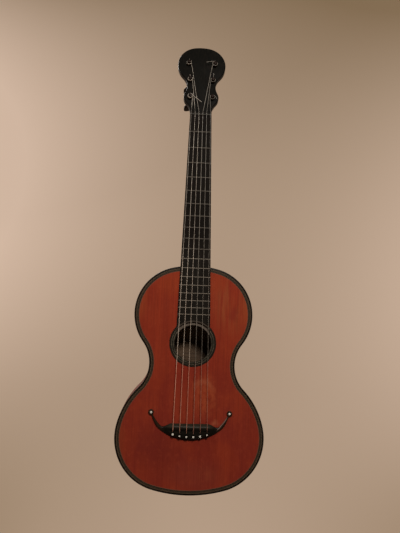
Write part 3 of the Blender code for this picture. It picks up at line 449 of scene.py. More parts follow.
varnish = Finish("red_brown_varnish_on_spruce", Coat_Weight=0.06, Coat_Roughness=0.15,
                 Specular_IOR_Level=0.07)
x, y, z = varnish.place()
wobble = varnish.noise((55.0, 1.0, 38.0), 3.0, 0.6) - 0.5
sideways = varnish.noise((40.0, 1.0, 40.0), 2.0, 0.5, 0.0, (3.0, 0.0, 7.0)) - 0.5
x = x + 0.016 * sideways
z = z + 0.020 * wobble


def patch(centre, reach, low, high=1.0):
    """1 in the middle of an uneven spot of the front, falling to 0 at its reach."""
    off_x = (x - centre[0]) / reach[0]
    off_z = (z - centre[1]) / reach[1]
    return 1.0 - varnish.between((off_x * off_x + off_z * off_z) ** 0.5, low, high)


grain = varnish.noise((760.0, 1.0, 9.0), 2.0)
streaks = varnish.noise((170.0, 1.0, 3.4), 3.0, 0.62)
broad_streaks = varnish.noise((46.0, 1.0, 2.2), 2.0, 0.5, 0.0, (11.0, 0.0, 2.0))
wide_streaks = varnish.noise((95.0, 1.0, 7.0), 3.0, 0.6, 0.0, (2.0, 0.0, 6.0))
clouds = varnish.noise((22.0, 1.0, 13.0), 3.0, 0.55, 0.4)
blotches = varnish.noise((130.0, 1.0, 80.0), 3.0, 0.6, 0.3, (5.0, 0.0, 1.0))
shoulder = patch((0.076, -0.386), (0.050, 0.080), 0.3) * varnish.between(wide_streaks, 0.38, 0.62)
golden_edge = patch((0.104, -0.392), (0.018, 0.052), 0.2) + patch((-0.105, -0.382), (0.020, 0.055), 0.2)
neck_side = patch((-0.045, -0.345), (0.050, 0.045), 0.1) + patch((0.044, -0.340), (0.030, 0.040), 0.1)
rubbed = patch((0.028, -0.566), (0.032, 0.052), 0.3) * varnish.between(blotches, 0.30, 0.62)
outer_arc = patch((0.023, -0.553), (0.024, 0.024), 0.70) * varnish.between(z, -0.562, -0.540)
crescent = varnish.clamped(outer_arc) - 0.8 * patch((0.024, -0.560), (0.020, 0.020), 0.6)
by_the_bridge = patch((0.0475, -0.6195), (0.013, 0.009), 0.1) * varnish.between(clouds, 0.25, 0.5)
low_patch = patch((0.034, -0.716), (0.026, 0.018), 0.2) * varnish.between(streaks, 0.35, 0.6)
varnish.paint("Base Color", varnish.layered(
    varnish.mixed(varnish.between(z, -0.60, -0.38), (0.158, 0.0182, 0.0100), (0.203, 0.0226, 0.0084)),
    (varnish.between(clouds, 0.36, 0.72) * 0.60, (0.225, 0.0290, 0.0092)),
    (varnish.between(broad_streaks, 0.40, 0.70) * 0.35, (0.136, 0.0142, 0.0074)),
    (patch((-0.060, -0.668), (0.090, 0.068), 0.2) * 0.50, (0.104, 0.0122, 0.0086)),
    (varnish.clamped(shoulder) * 0.80, (0.225, 0.0500, 0.0170)),
    (patch((0.079, -0.404), (0.012, 0.022), 0.2) * 0.60, (0.150, 0.0170, 0.0095)),
    (varnish.clamped(golden_edge) * 0.45, (0.235, 0.0440, 0.0130)),
    (patch((-0.135, -0.655), (0.014, 0.060), 0.2) * 0.45, (0.150, 0.0270, 0.0105)),
    (patch((0.010, -0.722), (0.080, 0.045), 0.2) * 0.55, (0.158, 0.0260, 0.0145)),
    (patch((-0.056, -0.455), (0.016, 0.040), 0.1) * 0.50, (0.160, 0.0190, 0.0070)),
    (varnish.clamped(neck_side) * 0.55, (0.240, 0.0330, 0.0080)),
    (varnish.clamped(rubbed) * 0.90, (0.245, 0.0480, 0.0180)),
    (varnish.clamped(crescent) * 0.55, (0.270, 0.0700, 0.0320)),
    (patch((0.036, -0.576), (0.007, 0.010), 0.2) * 0.70, (0.110, 0.0110, 0.0060)),
    (patch((0.004, -0.578), (0.052, 0.055), 0.1) * 0.50, (0.240, 0.0350, 0.0120)),
    (varnish.clamped(by_the_bridge) * 0.75, (0.260, 0.0640, 0.0300)),
    (varnish.clamped(low_patch) * 0.7, (0.190, 0.0330, 0.0150)),
    (varnish.between(grain, 0.40, 0.72) * 0.36, (0.085, 0.0090, 0.0050)),
    (varnish.between(streaks, 0.50, 0.78) * 0.46, (0.100, 0.0110, 0.0062)),
    (varnish.between(blotches, 0.48, 0.72) * 0.20, (0.260, 0.0420, 0.0180)),
))
varnish.paint("Roughness", 0.26 + 0.16 * clouds)
varnish.relief(grain * 0.6 + streaks * 0.4, 0.00006, 0.35)

bare_spruce = Finish("bare_spruce", Roughness=0.75, Specular_IOR_Level=0.2)
grain = bare_spruce.noise((500.0, 500.0, 14.0), 2.0)
tone = bare_spruce.mixed(bare_spruce.between(grain, 0.35, 0.7), (0.085, 0.053, 0.030), (0.050, 0.030, 0.017))
bare_spruce.paint("Base Color", tone)
bare_spruce.relief(grain, 0.0001, 0.5)

hole_stain = Finish("stained_edge_of_the_hole", Roughness=0.6, Specular_IOR_Level=0.1)
grain = hole_stain.noise((400.0, 400.0, 60.0), 2.0)
hole_stain.paint("Base Color", hole_stain.mixed(grain, (0.020, 0.014, 0.009), (0.045, 0.032, 0.020)))

coat(soundboard, varnish, bare_spruce, hole_stain)
sides_by_facing(soundboard, ((-0.5, 0), (0.5, 1)))
for face in soundboard.data.polygons:
    if abs(face.normal.y) < 0.5 and from_hole(face.center) < ROSETTE_RADIUS - 0.002:
        face.material_index = 2
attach(soundboard, "guitar")
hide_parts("soundboard")


# Edge work and rosette
# Black bindings bent round both edges of the body, with a strip of thin dark and pale lines let in
# beside the front one, and rings of like lines, gone darker, round the hole inside a broad black one.
TOP_BINDING_DEPTH = 0.0060
BACK_BINDING_DEPTH = 0.0050
BACK_BINDING_WIDTH = 0.0028
TOP_BINDING_ROUNDING = 0.0009
BACK_BINDING_ROUNDING = 0.0012
DEPTH_AT_NECK = 0.0720
DEPTH_AT_TAIL = 0.0820

ebony = Finish("polished_ebony", Specular_IOR_Level=0.06)
pores = ebony.noise((900.0, 900.0, 45.0), 2.0)
smoke = ebony.noise((14.0, 14.0, 9.0), 3.0)
tone = ebony.mixed(ebony.between(pores, 0.45, 0.75), (0.0036, 0.0024, 0.0014), (0.0080, 0.0052, 0.0030))
ebony.paint("Base Color", ebony.mixed(ebony.between(smoke, 0.45, 0.8) * 0.6, tone, (0.0150, 0.0088, 0.0050)))
ebony.paint("Roughness", 0.28 + 0.16 * smoke)
ebony.relief(pores, 0.00004, 0.3)


def inlay(name, grain, low, high, depth=0.00003, roughness=0.4):
    """Finish of a let-in line, mottled from one tone to another in grains 1/grain metres wide."""
    finish = Finish(name, Roughness=roughness, Specular_IOR_Level=0.08)
    mottle = finish.noise((grain, grain, grain), 2.0)
    finish.paint("Base Color", finish.mixed(mottle, low, high))
    finish.relief(mottle, depth, 0.3)
    return finish


def back_y(z):
    """Depth of the back's outer face, which leans: the body is deeper at the tail."""
    return DEPTH_AT_NECK + (DEPTH_AT_TAIL - DEPTH_AT_NECK) * (BODY_TOP - z) / BODY_LENGTH


def bend_round(name, stations, profile, strips, finishes, closed=True):
    """Strip bent round the body: its section is (inset, depth, from the back) points."""
    rings = []
    for x, z, nx, nz in stations:
        ring = []
        for inset, depth, from_back in profile:
            px, pz = x + nx * inset, z + nz * inset
            ring.append((px, back_y(pz) - depth if from_back else depth, pz))
        rings.append(ring)
    made = smooth(skin(name, rings, closed, strips))
    coat(made, *finishes)
    return made


def rounded_strip(width, depth, rounding, from_back):
    """Section of a binding whose outer corner is eased."""
    section = [(width, depth, from_back), (0.0, depth, from_back)]
    for i in range(4):
        turn = math.pi / 2 * i / 3
        inset = rounding - rounding * math.cos(turn)
        section.append((inset, rounding - rounding * math.sin(turn), from_back))
    return section + [(width, 0.0, from_back)]


top_section = rounded_strip(EDGE_WIDTH, TOP_BINDING_DEPTH, TOP_BINDING_ROUNDING, False)
top_binding = bend_round("top_binding_visual", body_edge, top_section, None, [ebony])
back_section = rounded_strip(BACK_BINDING_WIDTH, BACK_BINDING_DEPTH, BACK_BINDING_ROUNDING, True)
back_binding = bend_round("back_binding_visual", body_edge, back_section, None, [ebony])

DARK, PALE, GREY, ROSE = 0, 1, 2, 3
dark_line = inlay("dark_inlay_line", 320.0, (0.0045, 0.0034, 0.0022), (0.0110, 0.0078, 0.0048))
pale_line = inlay("pale_inlay_line", 260.0, (0.062, 0.041, 0.025), (0.115, 0.078, 0.048), 0.00004)
green_grey = inlay("grey_green_inlay", 380.0, (0.020, 0.0155, 0.0090), (0.040, 0.0310, 0.0180), 0.00004)
rose_line = inlay("pale_line_under_varnish", 200.0, (0.085, 0.036, 0.022), (0.140, 0.056, 0.034))
edge_lines = [(PALE, 0.40), (DARK, 0.40), (PALE, 0.40), (DARK, 0.40), (GREY, 1.00), (DARK, 0.80),
              (PALE, 0.30), (DARK, 1.20), (ROSE, 1.00)]
edge_section = [
    (INLAID_EDGE, INLAY_DEPTH, False), (EDGE_WIDTH, INLAY_DEPTH, False), (EDGE_WIDTH, 0.0, False),
]
edge_strips = [DARK, DARK]
reach = EDGE_WIDTH
for kind, width in edge_lines:
    reach += width / 1000.0
    edge_section.append((reach, 0.0, False))
    edge_strips.append(kind)
edge_strips.append(DARK)
line_finishes = [dark_line, pale_line, green_grey, rose_line]
top_purfling = bend_round("top_purfling_visual", body_edge, edge_section, edge_strips, line_finishes)

ring_lines = [(DARK, 1.7), (PALE, 0.5), (DARK, 0.3), (PALE, 0.5), (DARK, 1.8), (DARK, 0.6), (PALE, 0.5),
              (DARK, 0.3), (PALE, 0.5), (DARK, 4.0)]
radius = HOLE_RADIUS
ring_radii = [radius]
for kind, width in ring_lines:
    radius += width / 1000.0
    ring_radii.append(radius)
ring_radii = [HOLE_RADIUS] + ring_radii[:-1] + [ROSETTE_RADIUS, ROSETTE_RADIUS]
ring_strips = [DARK] + [kind for kind, width in ring_lines] + [DARK, DARK]
ring_sections = []
for i in range(HOLE_SIDES):
    turn = 2 * math.pi * i / HOLE_SIDES
    section = []
    for number, radius in enumerate(ring_radii):
        depth = INLAY_DEPTH if number in (0, len(ring_radii) - 1) else 0.0
        section.append((radius * math.cos(turn), depth, HOLE_Z + radius * math.sin(turn)))
    ring_sections.append(section)
rosette = smooth(skin("rosette_visual", ring_sections, True, ring_strips))

old_line = Finish("darkened_ring_line", Roughness=0.4, Specular_IOR_Level=0.08)
mottle = old_line.between(old_line.noise((70.0, 70.0, 70.0), 3.0, 0.6), 0.35, 0.68)
old_line.paint("Base Color", old_line.mixed(mottle, (0.036, 0.033, 0.024), (0.125, 0.108, 0.074)))
old_line.relief(mottle, 0.00004, 0.3)
# Painted light: the arc of the rosette that lies in the fingerboard's shade is painted lighter, as if lit.
painted_light_ring = inlay("rosette_painted_light_under_the_fingerboard", 300.0, (0.066, 0.052, 0.040), (0.108, 0.086, 0.068),
                  roughness=0.5)
coat(rosette, dark_line, old_line, painted_light_ring)
LIT_ARC_HALF = 0.0315
LIT_ARC_START = HOLE_Z + 0.012
LIT_ARC_RADII = (HOLE_RADIUS + 0.0005, 0.0440)
for face in rosette.data.polygons:
    under_the_board = abs(face.center.x) < LIT_ARC_HALF and face.center.z > LIT_ARC_START
    if under_the_board and LIT_ARC_RADII[0] < from_hole(face.center) < LIT_ARC_RADII[1]:
        face.material_index = 2
for piece, node, slot in (
    (top_binding, "top_binding", "ebony"), (back_binding, "back_binding", "ebony"),
    (top_purfling, "top_purfling", "edge_inlay"), (rosette, "rosette", "rosette_inlay"),
):
    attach(piece, "guitar")
    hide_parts(node)


# Sides and back
# Sides bent from thin maple that meet on the centre line, with glued linings inside, and a flat
# back in two halves. Outside they wear the same varnish over a faint curl; inside they are bare.
dark_varnish = Finish("red_brown_varnish_on_maple", Specular_IOR_Level=0.15)
curl = dark_varnish.noise((9.0, 30.0, 170.0), 2.0, 0.5, 0.8)
fibre = dark_varnish.noise((260.0, 260.0, 26.0), 2.0)
clouds = dark_varnish.noise((11.0, 11.0, 8.0), 3.0)
curled = dark_varnish.between(curl, 0.38, 0.68)
dark_varnish.paint("Base Color", dark_varnish.layered(
    dark_varnish.mixed(curled, (0.084, 0.0125, 0.0058), (0.168, 0.0280, 0.0100)),
    (dark_varnish.between(fibre, 0.5, 0.8) * 0.35, (0.052, 0.0085, 0.0045)),
    (dark_varnish.between(clouds, 0.5, 0.85) * 0.45, (0.195, 0.0380, 0.0120)),
))
dark_varnish.paint("Roughness", 0.54 + 0.16 * clouds)
dark_varnish.relief(fibre, 0.00004, 0.3)

bare_maple = Finish("bare_maple", Roughness=0.7, Specular_IOR_Level=0.15)
x, y, z = bare_maple.place()
fibre = bare_maple.noise((20.0, 300.0, 240.0), 2.0)
stain = bare_maple.noise((16.0, 16.0, 9.0), 3.0)
streaked = bare_maple.between(fibre, 0.35, 0.75)
bare_maple.paint("Base Color", bare_maple.layered(
    bare_maple.mixed(streaked, (0.082, 0.053, 0.032), (0.044, 0.028, 0.017)),
    (bare_maple.between(stain, 0.4, 0.8) * 0.5, (0.062, 0.034, 0.020)),
    # Painted shade: the inner wood is painted darker towards the treble side.
    (bare_maple.between(x, -0.010, 0.022) * 0.55, (0.030, 0.018, 0.011)),
    # Painted light: above the light that comes through the hole, where the inner wood lies in shade, it is
    # painted much lighter.
    (bare_maple.between(z, -0.468, -0.448), (0.300, 0.205, 0.115)),
))
bare_maple.relief(fibre, 0.00008, 0.4)

WALL = 0.0022
LINING = 0.0085
LINING_DEPTH = 0.0120
LINING_FOOT = 0.0160
FRONT_SEAT = 0.0031
FRONT_LEDGE = 0.0041
BACK_SEAT = 0.0028
BACK_LEDGE = 0.0031
rib_section = [
    (WALL, FRONT_SEAT + LINING_FOOT, False), (LINING, FRONT_SEAT + LINING_DEPTH, False),
    (LINING, FRONT_SEAT, False), (FRONT_LEDGE, FRONT_SEAT, False),
    (FRONT_LEDGE, TOP_BINDING_DEPTH, False), (0.0, TOP_BINDING_DEPTH, False),
    (0.0, BACK_BINDING_DEPTH, True), (BACK_LEDGE, BACK_BINDING_DEPTH, True),
    (BACK_LEDGE, BACK_SEAT, True), (LINING, BACK_SEAT, True),
    (LINING, BACK_SEAT + LINING_DEPTH, True), (WALL, BACK_SEAT + LINING_FOOT, True),
]
rib_strips = [1, 1, 1, 1, 1, 0, 1, 1, 1, 1, 1, 1]
for name, side in (("rib_bass", -1), ("rib_treble", 1)):
    stations = [(side * x, z, side * nx, nz) for x, z, nx, nz in half_edge]
    rib = bend_round(name + "_visual", stations, rib_section, rib_strips, [dark_varnish, bare_maple], False)
    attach(rib, "guitar")
    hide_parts(name)

BACK_THICKNESS = 0.0025
JOINT_PROUD = 0.00004
JOINT_CLEAR = 0.0002
BACK_LINE_HALF = 0.0006
TAIL_LINE_HALF = 0.0012
BACK_LEAN = math.atan2(DEPTH_AT_TAIL - DEPTH_AT_NECK, BODY_LENGTH)
BACK = Matrix.Translation((0.0, DEPTH_AT_TAIL, BODY_TAIL)) @ Matrix.Rotation(BACK_LEAN, 4, "X") @ FRONT


def bar_loop(half, low, high):
    """Outline of an upright bar on the centre line."""
    return [(-half, low), (half, low), (half, high), (-half, high)]


back_outline = [(x, (z - BODY_TAIL) / math.cos(BACK_LEAN)) for x, z in inside(body_edge, BACK_BINDING_WIDTH)]
back = sheet("back_visual", [back_outline], 0.0, BACK_THICKNESS, BACK)
coat(back, dark_varnish, bare_maple)
sides_by_facing(back, ((0.5, 0), (-0.5, 1)))
back_line = bar_loop(BACK_LINE_HALF, 0.006, BODY_LENGTH - 0.006)
back_joint = sheet("back_joint_line", [back_line], -JOINT_PROUD, 0.0004, BACK)
TAIL = Matrix.Translation((0.0, 0.0, BODY_TAIL))
tail_line = bar_loop(TAIL_LINE_HALF, TOP_BINDING_DEPTH + JOINT_CLEAR,
                     DEPTH_AT_TAIL - BACK_BINDING_DEPTH - JOINT_CLEAR)
tail_joint = sheet("tail_joint_line", [tail_line], -JOINT_PROUD, 0.0008, TAIL)
for piece in (back_joint, tail_joint):
    coat(piece, ebony)
    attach(piece, "guitar")
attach(back, "guitar")
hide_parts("back")


# Bars and blocks inside
# Split spruce bars across the front and the back and two spruce blocks at the joints, planed,
# glued in and left bare; those under the hole can be seen through it.
def round_corners(piece, width, segments, limit):
    corner = piece.modifiers.new("rounded corners", "BEVEL")
    corner.width = width
    corner.segments = segments
    corner.limit_method = "ANGLE"
    corner.angle_limit = math.radians(limit)


def eased(node, width, finish):
    """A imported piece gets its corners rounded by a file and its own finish."""
    piece = nodes[node]
    round_corners(piece, width, 2, 40.0)
    piece.data.materials.clear()
    coat(piece, finish)


for number in (1, 2, 3):
    eased(f"soundboard_bar_{number}", 0.0012, bare_spruce)
    eased(f"back_bar_{number}", 0.0012, bare_spruce)
for node in ("neck_block", "end_block"):
    eased(node, 0.0004, bare_spruce)


# Neck and heel
# One piece of black-stained wood, slim and half round under the strings, swelling at its foot
# into a heel that is fitted to the curve of the body.
black_wood = Finish("black_stained_wood", Specular_IOR_Level=0.035)
fibre = black_wood.noise((420.0, 420.0, 22.0), 2.0)
wear = black_wood.noise((24.0, 24.0, 10.0), 4.0, 0.6)
black_wood.paint("Base Color", black_wood.layered(
    (0.0030, 0.0029, 0.0022),
    (black_wood.between(fibre, 0.42, 0.75), (0.0062, 0.0050, 0.0036)),
    (black_wood.between(wear, 0.58, 0.8) * 0.5, (0.020, 0.010, 0.0055)),
))
black_wood.paint("Roughness", 0.32 + 0.14 * wear)
black_wood.relief(fibre, 0.00003, 0.25)

NUT_HALF = 0.0220
NUT_BACK = 0.0056
BOARD_END_Z = -0.4284
BOARD_END_HALF = 0.0331
HEAD_TILT = math.radians(12.0)
HEAD_THICKNESS = 0.0140
HEAD_FLAT = 0.024
THROAT = 0.030
NECK_DEPTH = 0.0160
NECK_FLAT = 0.004
HEEL_START = -0.2480
HEEL_END = BODY_TOP + 0.0130
DEPTH_AT_HEEL = 0.0185
HEEL_DEPTH = DEPTH_AT_NECK - 0.0010
HEEL_FLAT = 0.018
SQUARE, OVAL, POINTED = 5.0, 2.0, 1.25


def part_way(start, end, share):
    return start + (end - start) * share


def board_half(z):
    return part_way(NUT_HALF, BOARD_END_HALF, min(z, 0.0) / BOARD_END_Z)


def body_top_at(x):
    """Height of the body's edge under the heel."""
    edge = sorted((px, pz) for px, pz, nx, nz in half_edge if pz > -0.36)
    for (x1, z1), (x2, z2) in zip(edge, edge[1:]):
        if x1 <= abs(x) <= x2:
            return part_way(z1, z2, (abs(x) - x1) / (x2 - x1))
    return edge[0][1]


def neck_section(z, depth, flat, fullness, to_body=False):
    """D-shaped section of the neck, flat in front, or the end of the heel against the body."""
    half = board_half(z)
    side = []
    for i in range(15):
        down = math.sin(math.pi / 2 * i / 14)
        spread = max(0.0, 1 - down**fullness) ** (1 / fullness)
        side.append((flat / 2 + (half - flat / 2) * spread, depth * down))
    outline = side + [(-x, y) for x, y in reversed(side)]
    return [(x, y, body_top_at(x) if to_body else z) for x, y in outline]


head_depth = HEAD_THICKNESS / math.cos(HEAD_TILT)
sections = []
for part in range(9):
    ease = part / 8
    blend = ease * ease * (3 - 2 * ease)
    sections.append(neck_section(NUT_BACK - THROAT * ease, part_way(head_depth, NECK_DEPTH, blend),
                                 part_way(HEAD_FLAT, NECK_FLAT, blend), part_way(SQUARE, OVAL, blend)))
for part in range(1, 13):
    share = part / 12
    sections.append(neck_section(part_way(NUT_BACK - THROAT, HEEL_START, share),
                                 part_way(NECK_DEPTH, DEPTH_AT_HEEL, share), NECK_FLAT, OVAL))
for part in range(1, 19):
    turn = math.pi / 2 * part / 18
    rise = 1 - math.cos(turn)
    z = part_way(HEEL_START, HEEL_END, math.sin(turn))
    sections.append(neck_section(z, part_way(DEPTH_AT_HEEL, HEEL_DEPTH, rise),
                                 part_way(NECK_FLAT, HEEL_FLAT, rise), part_way(OVAL, POINTED, rise)))
sections.append(neck_section(BODY_TOP + 0.004, HEEL_DEPTH, HEEL_FLAT, POINTED))
sections.append(neck_section(BODY_TOP, HEEL_DEPTH, HEEL_FLAT, POINTED, True))
neck = smooth(skin("neck_visual", sections), 45.0)
coat(neck, black_wood)
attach(neck, "guitar")
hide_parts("neck")


# Fingerboard, frets and nut
# Ebony board glued over the neck and the front, hollowed at its end round the rosette, with
# eighteen bar frets of dull white metal in saw cuts, and a dark nut with a slot for each string.
dull_ebony = Finish("unpolished_ebony", Specular_IOR_Level=0.03)
pores = dull_ebony.noise((900.0, 900.0, 40.0), 2.0)
fingered = dull_ebony.noise((70.0, 70.0, 16.0), 3.0)
x, y, z = dull_ebony.place()
off_z = z - HOLE_Z
# Painted light: a lighter rim along the fingerboard's hollowed end stands for light falling on it.
end_rim_painted_light = 1.0 - dull_ebony.between((x * x + off_z * off_z) ** 0.5, 0.0440, 0.0455)
dull_ebony.paint("Base Color", dull_ebony.layered(
    (0.0068, 0.0054, 0.0041),
    (dull_ebony.between(pores, 0.45, 0.75), (0.0125, 0.0097, 0.0073)),
    (dull_ebony.between(fingered, 0.5, 0.8) * 0.6, (0.0190, 0.0138, 0.0100)),
    # Painted shade: the board is painted darker on the neck, above the body.
    (dull_ebony.between(z, -0.305, -0.240) * 0.72, (0.0030, 0.0017, 0.0009)),
    (end_rim_painted_light * 0.9, (0.0500, 0.0390, 0.0300)),
))
dull_ebony.paint("Roughness", 0.50 + 0.16 * fingered)
dull_ebony.relief(pores, 0.00004, 0.35)
eased("fingerboard", 0.0004, dull_ebony)

nut_wood = Finish("ebony_of_the_nut", Specular_IOR_Level=0.06, Roughness=0.5)
x, y, z = nut_wood.place()
fibre = nut_wood.noise((60.0, 500.0, 500.0), 2.0)
# Painted highlight: the nut's front edge, over the fingerboard, is painted light.
front_edge_painted_highlight = 1.0 - nut_wood.between(z, 0.0005, 0.0013)
nut_wood.paint("Base Color", nut_wood.layered(
    (0.0045, 0.0038, 0.0028),
    (fibre, (0.0110, 0.0092, 0.0068)),
    (front_edge_painted_highlight * 0.9, (0.115, 0.105, 0.085)),
))
nut_wood.relief(fibre, 0.00003, 0.3)
eased("nut", 0.0003, nut_wood)

fret_metal = Finish("dull_white_metal", Metallic=0.4, Specular_IOR_Level=0.2)
rub = fret_metal.noise((240.0, 900.0, 900.0), 2.0)
x, y, z = fret_metal.place()
fret_metal.paint("Base Color", fret_metal.layered(
    (0.090, 0.076, 0.060),
    (rub, (0.165, 0.142, 0.114)),
    # Painted shade: the frets are painted darker on the neck, above the body.
    (fret_metal.between(z, -0.300, -0.270) * 0.60, (0.030, 0.025, 0.020)),
))
fret_metal.paint("Roughness", 0.50 + 0.2 * rub)
for number in range(1, 19):
    eased(f"fret_{number:02d}", 0.00022, fret_metal)


# Head
# Flat figure-of-eight head leaning back twelve degrees, stained black, with its edge rounded
# over and six tapered holes bored through for the pegs.
HEAD = (Matrix.Translation((0.0, 0.0, NUT_BACK)) @ Matrix.Rotation(-HEAD_TILT, 4, "X") @ FRONT)
HEAD_LENGTH = 0.1598
JAW_WIDTH = 0.0726
LOBE_WIDTH = 0.1006
PEG_PLACES = ((0.0360, 0.0228), (0.0772, 0.0239), (0.1172, 0.0274))
PEG_BORE = ((0.0048, -HEAD_THICKNESS - 0.001), (0.0042, 0.001))
PEG_SIDES = 32


def head_stations():
    """Right half of the head's outline: throat, jaw, waist, lobe and crown."""
    jaw_radius, waist_radius, lobe_radius = 0.0200, 0.0347, 0.0424
    crown_radius, throat_radius, step = 0.0880, 0.0345, 0.0022
    jaw = (JAW_WIDTH / 2 - jaw_radius, 0.0388)
    throat_x = NUT_HALF + throat_radius
    throat = (throat_x, jaw[1] - math.sqrt((throat_radius + jaw_radius) ** 2 - (throat_x - jaw[0]) ** 2))
    crown = (0.0, HEAD_LENGTH - crown_radius)
    lobe_x = LOBE_WIDTH / 2 - lobe_radius
    lobe = (lobe_x, crown[1] + math.sqrt((crown_radius - lobe_radius) ** 2 - lobe_x**2))
    waist = touching(jaw, jaw_radius, lobe, lobe_radius, waist_radius)
    throat_end = heading(throat, jaw) % (2 * math.pi)
    jaw_end = heading(jaw, waist)
    waist_end = heading(waist, lobe) % (2 * math.pi)
    crown_start = heading(crown, lobe)
    stations = [(NUT_HALF, 0.0, -1.0, 0.0), (NUT_HALF, throat[1], -1.0, 0.0)]
    stations += arc_stations(throat, throat_radius, math.pi, throat_end, step)
    stations += arc_stations(jaw, jaw_radius, throat_end - math.pi, jaw_end, step)
    stations += arc_stations(waist, waist_radius, jaw_end + math.pi, waist_end, step)
    stations += arc_stations(lobe, lobe_radius, waist_end - math.pi, crown_start, step)
    stations += arc_stations(crown, crown_radius, crown_start, math.pi / 2, step)
    return stations


def peg_place(number):
    """Side of a peg and its x and height on the head: 1 to 3 go up the bass side, 4 to 6 come down."""
    side = -1 if number <= 3 else 1
    height, out = PEG_PLACES[number - 1 if number <= 3 else 6 - number]
    return side, side * out, height


head_edge = [(x, y) for x, y, nx, ny in head_stations()]
head_loop = head_edge + [(-x, y) for x, y in reversed(head_edge[:-1])]
head = sheet("head_visual", [head_loop], -HEAD_THICKNESS, 0.0, HEAD)
round_corners(head, 0.0022, 4, 60.0)
for number in (1, 2, 3, 6, 5, 4):
    side, peg_x, height = peg_place(number)
    seat = HEAD @ Matrix.Translation((peg_x, height, 0.0))
    carve(head, skin(f"peg_bore_{number}", [round_ring(r, h, PEG_SIDES, seat) for r, h in PEG_BORE]))
smooth(head, 30.0)
coat(head, black_wood)
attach(head, "guitar")
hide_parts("head")


# Pegs
# Ebony friction pegs turned and then cut flat behind into a thumb piece. Each is pushed in from
# behind, and the string winds on the stub that stands out in front.
brown_wood = Finish("brown_black_peg_wood", Specular_IOR_Level=0.06)
fibre = brown_wood.noise((700.0, 700.0, 160.0), 3.0)
handled = brown_wood.noise((60.0, 60.0, 60.0), 3.0)
x, y, z = brown_wood.place()
stub = 1.0 - brown_wood.between(0.978 * y - 0.208 * (z - NUT_BACK), -0.006, -0.002)
brown_wood.paint("Base Color", brown_wood.layered(
    (0.0240, 0.0105, 0.0052),
    (brown_wood.between(fibre, 0.40, 0.70), (0.0110, 0.0058, 0.0036)),
    (brown_wood.between(handled, 0.5, 0.8) * 0.5, (0.040, 0.019, 0.010)),
    (stub * 0.8, (0.0075, 0.0042, 0.0030)),
))
brown_wood.paint("Roughness", 0.34 + 0.2 * handled)
brown_wood.relief(fibre, 0.00004, 0.35)

PEG_TURNS = (25.0, 198.0, 55.0, 80.0, 97.0, 50.0)
# Millimetres up from the face of the head with the radius there, then also the paddle's flatness.
PEG_TURNED = (
    (10.8, 0.05), (10.75, 1.6), (10.55, 2.7), (10.1, 3.4), (9.4, 3.8), (8.8, 3.95), (8.3, 4.0), (7.8, 4.0),
    (4.0, 4.0), (0.0, 4.0), (-14.0, 4.5), (-14.3, 4.6), (-14.5, 6.0), (-14.9, 6.5), (-15.8, 6.7),
    (-16.7, 6.5), (-17.2, 5.7), (-17.8, 4.6), (-19.0, 3.8), (-20.6, 3.4), (-22.0, 3.5),
)
PEG_PADDLE = (
    (-23.2, 4.2, 0.90), (-24.0, 5.6, 0.70), (-24.8, 7.6, 0.52), (-25.9, 10.2, 0.40), (-27.6, 12.2, 0.34),
    (-30.0, 13.0, 0.31), (-34.0, 13.1, 0.30), (-39.0, 13.0, 0.28), (-42.2, 12.5, 0.28), (-44.2, 11.0, 0.30),
    (-45.3, 8.4, 0.33), (-45.9, 5.0, 0.38), (-46.1, 0.1, 0.5),
)
peg_sections = [(place, half, 1.0) for place, half in PEG_TURNED] + list(PEG_PADDLE)
for number in range(1, 7):
    side, peg_x, height = peg_place(number)
    turned = Matrix.Rotation(math.radians(PEG_TURNS[number - 1]), 4, "Z")
    seat = HEAD @ Matrix.Translation((peg_x, height, 0.0)) @ turned
    rings = [round_ring(half / 1000.0, place / 1000.0, PEG_SIDES, seat, flat)
             for place, half, flat in peg_sections]
    peg = smooth(skin(f"peg_{number}_visual", rings), 50.0)
    coat(peg, brown_wood)
    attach(peg, f"peg_{number}")
    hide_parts(f"peg_{number}")


# Bridge, saddle and dots
# Moustache bridge carved from one piece of ebony and glued on: a raised middle that carries the
# saddle and the pins, and two slim arms that end in round curls with a pearl dot let in.
SMILE_RADIUS = 0.0970
SMILE_Z = -0.6522 + SMILE_RADIUS
BRIDGE_FRONT = -0.6205
BRIDGE_TOP = 0.0083
BRIDGE_SLICES = 80
NOTCH = (0.0510, -0.6310)
CURL = (0.0769, -0.5997)
CURL_RINGS = ((0.0055, 0.0), (0.0055, 0.0024), (0.0052, 0.0031), (0.0045, 0.0035))
ARM_START = math.radians(34.0)
ARM_TOP = 0.0036
ARM_EDGE = 0.0021
curl_turn = math.atan2(CURL[0], SMILE_Z - CURL[1])
curl_reach = math.hypot(CURL[0], SMILE_Z - CURL[1])


def eased_step(value, low, high):
    share = min(1.0, max(0.0, (value - low) / (high - low)))
    return share * share * (3 - 2 * share)


def bridge_reaches(turn):
    """Inner and outer distance of the bridge's edges from the centre of its rear curve."""
    turn = abs(turn)
    drawn_in = (SMILE_RADIUS - curl_reach - 0.0018) * eased_step(turn, math.radians(40.0), curl_turn)
    front = (SMILE_Z - BRIDGE_FRONT) / math.cos(turn)
    notch = math.hypot(NOTCH[0], SMILE_Z - NOTCH[1])
    along = (turn - ARM_START) / (curl_turn - ARM_START)
    arm = part_way(notch, curl_reach - 0.0014, min(1.0, max(0.0, along)))
    to_arm = eased_step(turn, math.radians(29.5), math.radians(39.5))
    return part_way(front, arm, to_arm), SMILE_RADIUS - drawn_in


def bridge_height(x, reach, inner, outer):
    """Height of the carved top: a broad flat in the middle, rounded arms at the ends."""
    middle = 1.0 - eased_step(abs(x), 0.0350, 0.0520)
    from_rear, from_front = outer - reach, reach - inner
    share = from_front / max(outer - inner, 1e-6)
    arm = ARM_EDGE + (ARM_TOP - ARM_EDGE) * (1 - abs(2 * share - 1) ** 2.4)
    rear = eased_step(from_rear, -0.0035, 0.0062)
    front = eased_step(from_front, -0.0040, 0.0058)
    body = BRIDGE_TOP * min(rear, front)
    return part_way(arm, max(body, arm), middle)


